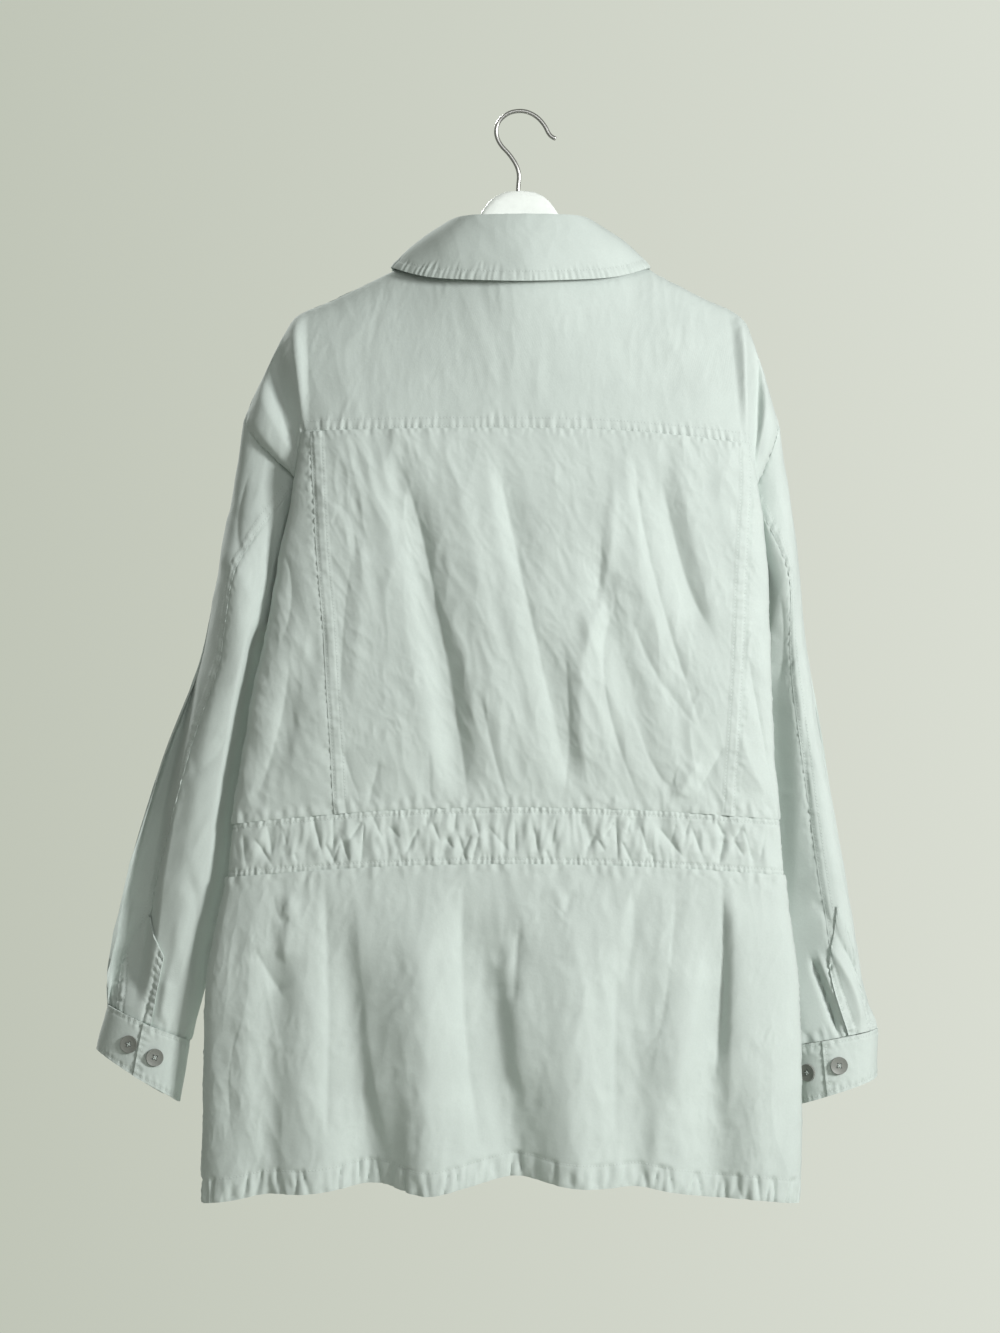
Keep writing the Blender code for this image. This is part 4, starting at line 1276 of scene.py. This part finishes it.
@dataclass
class Fronts(Garment):
    """Fronts above the waist, with the placket down their meeting edges."""

    upper_rows: int = 50
    rows: int = 84
    columns: int = 84
    neck_columns: int = 25
    blend_rows: tuple[float, float] = (16.0, 6.0)
    blend_passes: int = 60
    placket: float = 0.043
    placket_rise: float = 2.1
    placket_rows: int = 190
    placket_columns: int = 16

    def strip(self, stations: Array, foot: float, rows: int) -> Array:
        """Gives a front from the shoulder down to a height.

        Args:
            stations: Stations across.
            foot: Lowest height.
            rows: Rows below the yoke seam.

        Returns:
            Grid of points.
        """
        down = np.linspace(0.0, 1.0, self.upper_rows)
        heights = np.linspace(self.form.yoke_seam, foot, rows)[1:]
        upper = self.form.shoulder(stations[None, :], down[:, None], Face.AHEAD)
        grid = np.concatenate((upper, self.form.body(stations[None, :], heights[:, None], Face.AHEAD)))
        near = ease(np.abs(np.arange(len(grid)) - self.upper_rows), *self.blend_rows)
        smooth = relaxed(grid.swapaxes(0, 1), self.blend_passes, near).swapaxes(0, 1)
        return grid + (smooth - grid) * ease(np.abs(stations), 1.0, 0.85)[None, :, None]

    def build(self) -> None:
        """Builds both fronts and the placket."""
        chest = np.linspace(self.form.neck, 1.0, self.columns - self.neck_columns + 1)
        half = np.concatenate((np.linspace(0.0, self.form.neck, self.neck_columns), chest[1:]))
        foot = Seam(Edge.FOOT, (), 1.2, 15.0, 24.0)
        sewn = (Seam(Edge.TOP, (4.0,), 0.35), foot, Seam(Edge.START), Seam(Edge.END))
        for name, w in (("front_right", half[::-1]), ("front_left", -half)):
            grid = self.strip(w, self.form.casing_top, self.rows)
            soft = rumpled(grid, Net(2.2, 36.0, 2.6, 0.1, 14.0))
            free = np.broadcast_to(ease(np.abs(w), *PLACKET_CLEAR), soft.shape)
            panel = Panel(name, grid, sewn, FRONT_CREASES, face=Face.AHEAD, free=free)
            panel.build(self.cloth, free * soft)
        across = np.linspace(self.placket, -self.placket, self.placket_columns)
        lap = self.strip(across, self.form.hem, self.placket_rows)
        lap = lap + self.placket_rise * grid_normals(lap)
        sewn = tuple(Seam(edge, (4.0,), 0.3, groove=0.2) for edge in (Edge.START, Edge.END))
        Panel("front_placket", lap, sewn).build(self.cloth)


@dataclass
class Pockets(Garment):
    """Patch pockets with flaps on the skirt fronts."""

    inner: float = 0.16
    outer: float = 0.57
    top: float = 0.18
    foot: float = 0.82
    flap_top: float = 0.07
    flap_foot: float = 0.32
    pocket_rise: float = 1.98
    flap_rise: float = 4.32
    columns: int = 44

    def patch(self, sign: int, top: float, foot: float, rise: float) -> Array:
        """Gives a piece of the skirt front, moved out.

        Args:
            sign: -1 on the left, 1 on the right.
            top: Share of the skirt's height at its top.
            foot: Share at its foot.
            rise: Distance moved out.

        Returns:
            Grid of points.
        """
        span = self.form.hem - self.form.casing_foot
        rows = max(16, int(90 * (foot - top)))
        heights = self.form.casing_foot + span * np.linspace(top, foot, rows)
        w = np.linspace(self.inner, self.outer, self.columns)
        w = -w if sign < 0 else w[::-1]
        grid = self.form.body(w[None, :], heights[:, None], Face.AHEAD)
        return grid + rise * grid_normals(grid)

    def build(self) -> None:
        """Builds both pockets and flaps."""
        edges = (Edge.START, Edge.END, Edge.FOOT, Edge.TOP)
        topped = tuple(Seam(edge, (3.0,), 0.25, groove=0.2) for edge in edges)
        for side, sign in (("left", -1), ("right", 1)):
            for name, top, foot, rise in (("pocket_", self.top, self.foot, self.pocket_rise),
                                          ("flap_", self.flap_top, self.flap_foot, self.flap_rise)):
                grid = self.patch(sign, top, foot, rise)
                soft = 0.35 + 0.35 * ripple(grid[..., 0], grid[..., 2], 48.0, 3.0 + sign)
                Panel(name + side, grid, topped).build(self.cloth, soft)


# Creases of each sleeve as seen from behind: start x and z, middle x and z, end x and z, half width, height
LEFT_CREASES = chart(
    (-268, -500, -296, -640, -318, -780, 12, 2.5),
    (-246, -330, -256, -372, -250, -410, 6, -2.6),
    (-262, -360, -268, -390, -262, -420, 6, 2.2),
    (-262, -560, -280, -590, -300, -600, 6, -1.8),
    (-300, -690, -292, -740, -302, -790, 7, -2),
    (-330, -776, -335, -800, -343, -826, 2.4, -3.2),
    (-320, -786, -322, -806, -326, -828, 5, 2.6),
)
RIGHT_CREASES = chart(
    (260, -520, 262, -600, 268, -690, 7, -2),
    (236, -440, 240, -480, 236, -520, 5, -1.8),
    (266, -716, 286, -742, 310, -800, 7, -2.4),
    (265, -768, 278, -804, 292, -844, 2, -7.5),
    (272, -764, 286, -800, 299, -840, 3.6, 3.4),
    (281, -758, 303, -796, 310, -836, 5, 4),
    (290, -752, 314, -790, 320, -828, 3, -3),
)
# Long folds of each sleeve, where the cloth to the left of a line lies deeper:
# height, line x, half width, depth
LEFT_FOLDS = (
    chart(
        (-470, -292, 8, 0),
        (-534, -298, 6.5, 20),
        (-642, -320.5, 7, 27),
        (-768, -337.5, 7, 22),
        (-812, -342, 8, 1),
    ),
    chart(
        (-400, -256, 24, 0),
        (-534, -272, 26, 12),
        (-642, -290, 28, 14),
        (-768, -312, 30, 12),
        (-836, -330, 30, 2),
    ),
)
RIGHT_FOLDS = (
    chart(
        (-390, 240, 12, 0),
        (-470, 244, 14, 10),
        (-600, 244, 14, 12),
        (-690, 243, 12, 9),
        (-750, 243, 10, 0),
    ),
    chart(
        (-400, 246, 20, 0),
        (-500, 254, 24, 22),
        (-588, 262, 32, 36),
        (-669, 272, 34, 40),
        (-782, 288, 34, 28),
        (-846, 296, 28, 3),
    ),
)


@dataclass
class Sleeve(Garment):
    """One two-piece sleeve with its bound slit."""

    side: str
    sign: int
    table: Array
    creases: Array
    folds: tuple[Array, ...]
    slit_shift: int
    span_rows: int = 32
    cap_columns: int = 46
    arm_columns: int = 38
    low_columns: int = 7
    front_seam: float = 0.84
    slit_rise: float = 2.3
    slit_half: int = 12
    slit_rows: int = 38
    slit_peak: float = 12.0
    slit_columns: int = 40
    layers: float = 7.0
    tuck_reach: float = 16.0
    tuck_y: float = 5.0

    def loop(self) -> Array:
        """Walks the armhole from the top of the cap, round behind, under the arm and up the front.

        Returns:
            Points of the loop, without its start again.
        """
        w = float(self.sign)
        cap = self.form.shoulder(w, np.linspace(0.0, 1.0, self.cap_columns), Face.BEHIND)
        arm = np.linspace(self.form.yoke_seam, self.form.underarm, self.arm_columns)
        behind = self.form.body(w, arm[1:], Face.BEHIND)
        ahead = self.form.body(w, arm[1:-1][::-1], Face.AHEAD)
        low = np.linspace(1.0, self.front_seam, self.low_columns)
        high = np.linspace(self.front_seam, 0.0, self.cap_columns - self.low_columns + 1)[1:-1]
        chest = self.form.shoulder(w, np.concatenate((low, high)), Face.AHEAD)
        return np.concatenate((cap, behind, ahead, chest))

    def angles(self, loop: Array) -> Array:
        """Turns the run along the armhole into an angle.

        Args:
            loop: Points of the armhole.

        Returns:
            0 at the cap, half a turn at the underarm, a whole turn back at the cap.
        """
        under = self.cap_columns - 1 + self.arm_columns - 1
        closed = np.concatenate((loop, loop[:1]))
        run = np.concatenate(([0.0], np.cumsum(np.linalg.norm(np.diff(closed, axis=0), axis=1))))
        first = run[:under + 1] / run[under]
        second = (run[under:] - run[under]) / (run[-1] - run[under])
        return np.concatenate((math.pi * first, math.pi * (1.0 + second[1:])))[:-1]

    def surface(self) -> Array:
        """Lofts the sleeve from its armhole to the top of its cuff.

        Returns:
            Grid of points, rows down and columns round.
        """
        loop = self.loop()
        angle = self.angles(loop)
        rings = [loop] + [self.form.ring(row, angle) for row in self.table]
        last = len(rings) - 1
        rows = []
        for k in range(last):
            before = rings[max(k - 1, 0)]
            after = rings[min(k + 2, last)]
            m0 = 0.4 * (rings[k + 1] - before) if k else 0.8 * (rings[1] - rings[0])
            m1 = 0.4 * (after - rings[k])
            for t in np.linspace(0.0, 1.0, self.span_rows, endpoint=False):
                rows.append((1 + 2 * t) * (1 - t) ** 2 * rings[k] + t * (1 - t) ** 2 * m0
                            + t * t * (3 - 2 * t) * rings[k + 1] + t * t * (t - 1) * m1)
        rows.append(rings[last])
        return self.hung(np.array(rows))

    def hung(self, grid: Array) -> Array:
        """Lays the sleeve's long folds and tucks its inner side in front of the body's edge.

        Args:
            grid: The lofted sleeve.

        Returns:
            The sleeve as it hangs.
        """
        out = grid.copy()
        x = grid[..., 0]
        middle = 0.5 * (grid[..., 1].min(axis=1) + grid[..., 1].max(axis=1))[:, None]
        behind = ease(grid[..., 1] - middle, 0.0, -10.0)
        push = np.zeros_like(x)
        for fold in self.folds:
            z = np.clip(grid[..., 2], fold[:, 0].min(), fold[:, 0].max())
            line, half, deep = (curve(fold, k, z) for k in (1, 2, 3))
            push += deep * behind * ease((x - line) / half, 1.0, -1.0)
        room = np.maximum(2.0 * (middle - grid[..., 1]) - self.layers, 0.1)
        out[..., 1] += room * np.tanh(push / room)
        column = 1 if self.sign < 0 else 2
        level = np.clip(grid[..., 2], self.form.hem, self.form.yoke_seam)
        edge = self.sign * curve(SECTIONS, column, level)
        near = ease(self.sign * x - edge, self.tuck_reach, 3.0)
        below = ease(grid[..., 2], self.form.underarm - 6.0, self.form.underarm - 34.0)
        out[..., 1] += near * below * np.maximum(self.tuck_y - out[..., 1], 0.0)
        return out

    def placket(self, grid: Array, back: int) -> Array:
        """Cuts the slit's binding, with a pointed top.

        Args:
            grid: The sleeve.
            back: Column of the slit's middle.

        Returns:
            Grid of points, moved out.
        """
        strip = self.columns(grid, back - self.slit_half, back + self.slit_half)
        share = np.linspace(0.0, 1.0, self.slit_columns)
        top = strip.shape[0] - 1 - self.slit_rows - self.slit_peak * (1.0 - np.abs(2.0 * share - 1.0))
        down = np.linspace(0.0, 1.0, self.slit_rows)[:, None]
        row = top + (strip.shape[0] - 1 - top) * down
        column = np.broadcast_to(share * (strip.shape[1] - 1), row.shape)
        lap = sampled(strip, row, column)
        return lap + self.slit_rise * grid_normals(lap)

    def bare(self, shape: tuple[int, int], slit: Edge) -> Array:
        """Tells where a sleeve piece lies bare, away from the slit's binding.

        Args:
            shape: Rows and columns of the piece.
            slit: Edge that the slit is on.

        Returns:
            1 where the cloth is bare, 0 under the binding.
        """
        up = np.arange(shape[0])[::-1, None]
        out = np.arange(shape[1])[None, :]
        if slit is Edge.END:
            out = out[:, ::-1]
        tall = self.slit_rows + self.slit_peak
        wide = self.slit_half + self.slit_shift
        return 1.0 - ease(up, tall + 8.0, tall) * ease(out, wide + 4.0, wide + 1.0)

    def columns(self, grid: Array, first: int, last: int) -> Array:
        """Takes the columns from first to last round a closed grid, ordered so that they face out."""
        taken = grid[:, [k % grid.shape[1] for k in range(first, last + 1)]]
        return taken[:, ::-1] if self.sign > 0 else taken

    def build(self) -> None:
        """Builds both pieces and the slit's binding."""
        grid = self.surface()
        count = grid.shape[1]
        back = self.cap_columns - 1
        front = self.cap_columns + 2 * self.arm_columns + self.low_columns - 4
        felled = ((2.0, 8.0), 0.6, 8.0, 5.0, 0.6)
        near, far = (Edge.START, Edge.END) if self.sign > 0 else (Edge.END, Edge.START)
        top = self.columns(grid, front - count, back)
        under = self.columns(grid, back, front)
        ends = (Seam(Edge.TOP, (), 0.4, 8.0, 8.0), Seam(Edge.FOOT, (), 0.9, 10.0, 16.0))
        for name, grid_part, slit, seams in (("sleeve_top_", top, near, (Seam(near, *felled), Seam(far))),
                                             ("sleeve_under_", under, far, (Seam(near), Seam(far)))):
            nets = (Net(2.2, 34.0, 2.4, 0.25 * self.sign, 15.0 + self.sign),
                    Net(0.6, 14.0, 1.8, -0.3, 35.0 + self.sign))
            soft = rumpled(grid_part, *nets, round_arm=True) * self.bare(grid_part.shape[:2], slit)
            Panel(name + self.side, grid_part, ends + seams, self.creases).build(self.cloth, soft)
        sewn = tuple(Seam(edge, (2.0, 8.0), 1.1, 6.5, 4.0, groove=0.2) for edge in (Edge.START, Edge.END))
        sewn += (Seam(Edge.TOP, (2.0,), 0.3, groove=0.2),)
        lap = self.placket(grid, back - self.slit_shift)
        foot = float(np.linalg.norm(np.diff(lap[-1], axis=0), axis=1).sum())
        Panel("sleeve_placket_" + self.side, lap, sewn, self.creases, cut_width=foot).build(self.cloth)


@dataclass
class Cuff(Garment):
    """Cuff band that goes once round and on over its own start."""

    side: str
    sign: int
    top: Array
    foot: Array
    end: float
    turn: float = 2.0 * math.pi + 0.75
    lap: float = 2.4
    rise: float = 0.6
    rows: int = 40
    columns: int = 230

    def surface(self) -> Array:
        """Winds the band.

        Returns:
            Grid of points, rows down and columns from the outer end back to the hidden one.
        """
        turn = np.linspace(0.0, self.turn, self.columns)
        angle = self.end + self.sign * (turn - self.turn)
        lift = self.lap * ease(turn, 2.0 * math.pi - 0.9, 2.0 * math.pi - 0.1) + self.rise
        rows = []
        for share in np.linspace(0.008, 1.0, self.rows):
            row = self.top + (self.foot - self.top) * share
            ring = self.form.ring(row, angle)
            out = ring - self.form.ring(row, np.array((0.0, math.pi))).mean(axis=0)
            out[:, 2] = 0.0
            out /= np.linalg.norm(out, axis=1, keepdims=True)
            rows.append(ring + out * lift[:, None])
        return np.array(rows)[:, ::-1]

    def build(self) -> None:
        """Builds the band."""
        grid = self.surface()
        sewn = tuple(Seam(edge, (3.0,), 0.5, 7.0, groove=0.3) for edge in (Edge.TOP, Edge.FOOT, Edge.START))
        soft = 0.4 * ripple(grid[..., 0] + grid[..., 1], grid[..., 2], 35.0, 6.0)
        soft += rumpled(grid, Net(0.9, 24.0, 1.6, 0.7 * self.sign, 51.0), round_arm=True)
        Panel("cuff_" + self.side, grid, sewn, wall=1.7).build(self.cloth, soft)


@dataclass
class Collar(Garment):
    """Turn-down collar: a stand inside and a fall over it."""

    columns: int = 560
    stand_rows: int = 12
    fall_rows: int = 44
    puff: float = 3.0
    gap: float = 1.75
    overlap: float = 2.6
    passes: int = 420

    def line(self, first: int, turn: Array) -> Array:
        """Gives one of the collar's three lines.

        Args:
            first: First of the line's three columns in the table.
            turn: Stations, -1 and 1 at the centre front.

        Returns:
            Points of the line.
        """
        a = np.abs(turn)
        x = np.sign(turn) * curve(COLLAR, first, a) + 2.0 * (1.0 - a)
        return np.stack((x, curve(COLLAR, first + 1, a), curve(COLLAR, first + 2, a)), axis=-1)

    def build(self) -> None:
        """Builds the stand and the fall."""
        turn = np.linspace(-1.0, 1.0, self.columns)
        neck, fold, edge = (self.line(first, turn) for first in (1, 4, 7))
        share = np.linspace(0.0, 1.0, self.stand_rows)[:, None, None]
        up = np.array((0.0, 0.0, 1.0))
        behind = ease(np.abs(turn), 0.4, 0.2)
        stand = relaxed(fold + (neck - fold) * share + self.overlap * share * up, self.passes, behind)
        Panel("collar_stand", stand, (Seam(Edge.FOOT, (2.0,), 0.3),)).build(self.cloth)
        out = grid_normals(stand)[0]
        out[:, 2] = 0.0
        out /= np.linalg.norm(out, axis=1, keepdims=True)
        share = np.linspace(0.0, 1.0, self.fall_rows)[:, None, None]
        puff = self.puff * np.sin(math.pi * share) ** 0.8
        fall = fold + (edge - fold) * share + out * (self.gap + 0.7 * puff) + puff * up
        fall = relaxed(fall, self.passes, behind)
        sewn = (Seam(Edge.FOOT, (8.5,), 0.5, 6.0, 9.0, 0.3, groove=0.3), Seam(Edge.START, (8.5,), 0.3),
                Seam(Edge.END, (8.5,), 0.3))
        soft = 0.4 * ripple(fall[..., 0], fall[..., 2], 45.0, 8.0)
        soft += rumpled(fall, Net(1.1, 30.0, 1.7, 0.5, 41.0))
        Panel("collar_fall", fall, sewn).build(self.cloth, soft)


def deselect() -> None:
    """Leaves no object selected."""
    if bpy.context.mode != "OBJECT":
        bpy.ops.object.mode_set(mode="OBJECT")
    bpy.ops.object.select_all(action="DESELECT")


def finished(obj: Object, name: str, node: str) -> None:
    """Names a hard piece, sets it on the body in place of its solid and logs it.

    Args:
        obj: The piece, with its place in its mesh.
        name: Its name.
        node: Solid it stands for.
    """
    obj.name = name
    obj.data.name = name
    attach(obj, BODY)
    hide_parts(node)
    LOG.info("%s: %d faces", name, len(obj.data.polygons))


@dataclass
class Button:
    """Round four-hole button with a raised rim, sewn on crosswise."""

    plastic: Material
    thread: Material
    radius: float = 8.0
    thick: float = 2.6
    rim: float = 1.7
    dish: float = 0.7
    hole: float = 1.0
    hole_ring: float = 2.1
    bevel: float = 0.45
    bar: float = 0.5

    def rod(self, sides: int, radius: float, long: float, **place: tuple[float, ...]) -> Object:
        """Adds a cylinder, with its sizes in millimetres and its place in metres."""
        bpy.ops.mesh.primitive_cylinder_add(vertices=sides, radius=radius * MM, depth=long * MM, **place)
        return bpy.context.object

    def cutter(self) -> Object:
        """Makes the four drills of the holes as one object.

        Returns:
            The drills.
        """
        deselect()
        drills = []
        for k in range(4):
            angle = math.pi * (0.25 + 0.5 * k)
            spot = (self.hole_ring * math.cos(angle) * MM, self.hole_ring * math.sin(angle) * MM, 0.0)
            drills.append(self.rod(14, self.hole, 4.0 * self.thick, location=spot))
        for drill in drills:
            drill.select_set(True)
        bpy.ops.object.join()
        return bpy.context.object

    def disc(self) -> Object:
        """Makes the dished disc with its holes.

        Returns:
            The disc, standing on the origin along Z.
        """
        cutter = self.cutter()
        deselect()
        disc = self.rod(40, self.radius, self.thick)
        bpy.ops.object.mode_set(mode="EDIT")
        bpy.ops.mesh.select_mode(type="FACE")
        bpy.ops.mesh.select_all(action="DESELECT")
        bpy.ops.object.mode_set(mode="OBJECT")
        for face in disc.data.polygons:
            face.select = face.normal.z > 0.9
        bpy.ops.object.mode_set(mode="EDIT")
        bpy.ops.mesh.inset(thickness=self.rim * MM)
        bpy.ops.transform.translate(value=(0.0, 0.0, -self.dish * MM))
        bpy.ops.object.mode_set(mode="OBJECT")
        bevel = disc.modifiers.new("Bevel", "BEVEL")
        bevel.width = self.bevel * MM
        bevel.segments = 3
        bpy.ops.object.modifier_apply(modifier=bevel.name)
        cut = disc.modifiers.new("Holes", "BOOLEAN")
        cut.object = cutter
        cut.solver = "EXACT"
        bpy.ops.object.modifier_apply(modifier=cut.name)
        bpy.data.objects.remove(cutter, do_unlink=True)
        disc.data.materials.clear()
        disc.data.materials.append(self.plastic)
        return disc

    def sewn(self) -> Object:
        """Makes the disc with two bars of thread through its holes.

        Returns:
            The button, standing on the origin along Z.
        """
        disc = self.disc()
        deselect()
        bars = []
        spot = (0.0, 0.0, (0.5 * self.thick - self.dish + 0.3) * MM)
        for turn in (0.25, 0.75):
            lie = (0.5 * math.pi, 0.0, math.pi * turn)
            bar = self.rod(10, self.bar, 2.0 * self.hole_ring, location=spot, rotation=lie)
            bar.data.materials.append(self.thread)
            bars.append(bar)
        for bar in bars:
            bar.select_set(True)
        disc.select_set(True)
        bpy.context.view_layer.objects.active = disc
        bpy.ops.object.join()
        bpy.ops.object.shade_smooth_by_angle(angle=math.radians(40.0))
        return disc

    def build(self, node: str, solid: Object, away: Vector) -> None:
        """Sets one button where its solid is.

        Args:
            node: Name of the solid.
            solid: The solid.
            away: Direction the button faces, roughly.
        """
        points = np.array([v.co for v in solid.data.vertices])
        middle = points.mean(axis=0)
        axis = Vector(np.linalg.svd(points - middle, full_matrices=False)[2][2])
        if axis.dot(away) < 0.0:
            axis.negate()
        obj = self.sewn()
        turn = Vector((0.0, 0.0, 1.0)).rotation_difference(axis).to_matrix().to_4x4()
        obj.data.transform(Matrix.Translation(Vector(middle)) @ turn)
        finished(obj, "sewn_" + node, node)


@dataclass
class Hanger:
    """Moulded hanger and its wire hook, rounded from their solids."""

    plastic: Material
    wire: Material
    weld: float = 0.00002
    levels: int = 1

    def rounded(self, solid: Object, material: Material) -> Object:
        """Copies a solid and rounds it.

        Args:
            solid: The solid.
            material: Finish of the copy.

        Returns:
            The copy.
        """
        deselect()
        solid.select_set(True)
        bpy.context.view_layer.objects.active = solid
        bpy.ops.object.duplicate()
        obj = bpy.context.object
        for key in list(obj.keys()):
            del obj[key]
        bpy.ops.object.parent_clear(type="CLEAR_KEEP_TRANSFORM")
        bpy.ops.mesh.customdata_custom_splitnormals_clear()
        bpy.ops.object.mode_set(mode="EDIT")
        bpy.ops.mesh.select_all(action="SELECT")
        bpy.ops.mesh.remove_doubles(threshold=self.weld)
        bpy.ops.mesh.tris_convert_to_quads()
        bpy.ops.object.mode_set(mode="OBJECT")
        soft = obj.modifiers.new("Round", "SUBSURF")
        soft.levels = self.levels
        bpy.ops.object.modifier_apply(modifier=soft.name)
        bpy.ops.object.shade_smooth_by_angle(angle=math.radians(50.0))
        obj.data.materials.clear()
        obj.data.materials.append(material)
        return obj

    def build(self, nodes: dict[str, Object]) -> None:
        """Builds the hanger and the hook.

        Args:
            nodes: The solids by name.
        """
        for node, material, name, slot in (("hanger_body", self.plastic, "moulded_hanger", "hanger"),
                                           ("hanger_hook", self.wire, "wire_hook", "hook")):
            finished(self.rounded(nodes[node], material), name, node)


@dataclass(frozen=True)
class Lamp:
    """Soft square light."""

    name: str
    place: tuple[float, float, float]
    power: float
    size: float


@dataclass(frozen=True)
class Studio:
    """Plain pale floor, even surround, soft lights and the camera."""

    floor: float = -1.65
    floor_size: float = 2.2
    floor_colour: tuple[float, float, float] = (0.62, 0.64, 0.58)
    aim: tuple[float, float, float] = (-0.018, -0.045, -0.5036)
    distance: float = 4.0
    frame_height: float = 1.2
    surround_left: tuple[float, float, float] = (0.515, 0.546, 0.462)
    surround_right: tuple[float, float, float] = (0.708, 0.737, 0.658)
    surround_dim: tuple[float, float, float] = (0.215, 0.223, 0.2)
    surround_span: float = 0.132
    surround_cone: tuple[float, float] = (0.55, 0.88)
    sensor: float = 36.0
    lamps: tuple[Lamp, ...] = (
        Lamp("key", (1.85, -1.7, 0.1), 68.0, 0.5),
        Lamp("fill", (0.2, -2.4, 0.6), 11.0, 1.4),
        Lamp("front", (-1.4, 1.9, 1.3), 70.0, 0.8),
    )

    def stand(self) -> None:
        """Lays the floor."""
        deselect()
        bpy.ops.mesh.primitive_plane_add(size=self.floor_size, location=(0.0, 0.0, 0.0))
        floor = bpy.context.object
        floor.name = "floor"
        floor.data.transform(Matrix.Translation((0.0, -0.2, self.floor)))
        graph = Graph(bpy.data.materials.new("pale_floor"))
        graph.fill(graph.shader, Base_Color=(*self.floor_colour, 1.0), Roughness=0.9)
        floor.data.materials.append(graph.holder)

    def air(self) -> None:
        """Lights the surround: pale behind the jacket, a little darker on the left, dimmer all round."""
        world = bpy.data.worlds.new("surround")
        bpy.context.scene.world = world
        graph = Graph(world, "Background")
        split = graph.add("SeparateXYZ")
        graph.feed(split.inputs[0], graph.add("TexCoord").outputs["Generated"])
        span = graph.step(split.outputs["X"], -self.surround_span, self.surround_span, "LINEAR")
        cone = graph.step(split.outputs["Y"], *self.surround_cone, "LINEAR")
        tone = graph.tint(span, self.surround_left, self.surround_right)
        graph.feed(graph.shader.inputs["Color"], graph.tint(cone, self.surround_dim, tone))

    def shine(self) -> None:
        """Hangs the lamps."""
        for lamp in self.lamps:
            deselect()
            bpy.ops.object.light_add(type="AREA", location=lamp.place)
            light = bpy.context.object
            light.name = lamp.name
            light.data.energy = lamp.power
            light.data.size = lamp.size
            way = Vector(self.aim) - Vector(lamp.place)
            light.rotation_euler = way.to_track_quat("-Z", "Y").to_euler()

    def look(self) -> None:
        """Sets the camera level behind the jacket, as the photograph has it."""
        deselect()
        x, y, z = self.aim
        bpy.ops.object.camera_add(location=(x, y - self.distance, z), rotation=(0.5 * math.pi, 0.0, 0.0))
        camera = bpy.context.object
        camera.data.sensor_width = self.sensor
        camera.data.lens = self.sensor * self.distance / self.frame_height
        bpy.context.scene.camera = camera
        bpy.context.scene.view_settings.view_transform = "Standard"

    def build(self) -> None:
        """Builds the studio."""
        self.stand()
        self.air()
        self.shine()
        self.look()


def main() -> None:
    """Builds the jacket, its hanger and the studio."""
    logging.basicConfig(level=logging.INFO, format="%(name)s %(message)s")
    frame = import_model()
    form = Form()
    cloth = ClothFinish().material()
    Back(form, cloth).build()
    Casing(form, cloth).build()
    Skirt(form, cloth).build()
    Fronts(form, cloth).build()
    Pockets(form, cloth).build()
    Sleeve(form, cloth, "left", -1, SLEEVE_LEFT, LEFT_CREASES, LEFT_FOLDS, 0).build()
    Sleeve(form, cloth, "right", 1, SLEEVE_RIGHT, RIGHT_CREASES, RIGHT_FOLDS, 10).build()
    Cuff(form, cloth, "left", -1, SLEEVE_LEFT[-1], CUFF_LEFT, 1.50).build()
    Cuff(form, cloth, "right", 1, SLEEVE_RIGHT[-1], CUFF_RIGHT, 1.83).build()
    Collar(form, cloth).build()
    button = Button(PlasticFinish("grey_button", (0.20, 0.21, 0.19), 0.45).material(), cloth)
    for node, solid in sorted(frame["nodes"].items()):
        if node.startswith("front_button"):
            button.build(node, solid, Vector((0.0, 1.0, 0.0)))
        elif node.startswith("cuff_button"):
            button.build(node, solid, Vector((0.0, -1.0, 0.0)))
    white = PlasticFinish("white_hanger", (0.80, 0.84, 0.80), 0.3).material()
    Hanger(white, WireFinish().material()).build(frame["nodes"])
    Studio().build()


if __name__ == "__main__":
    main()
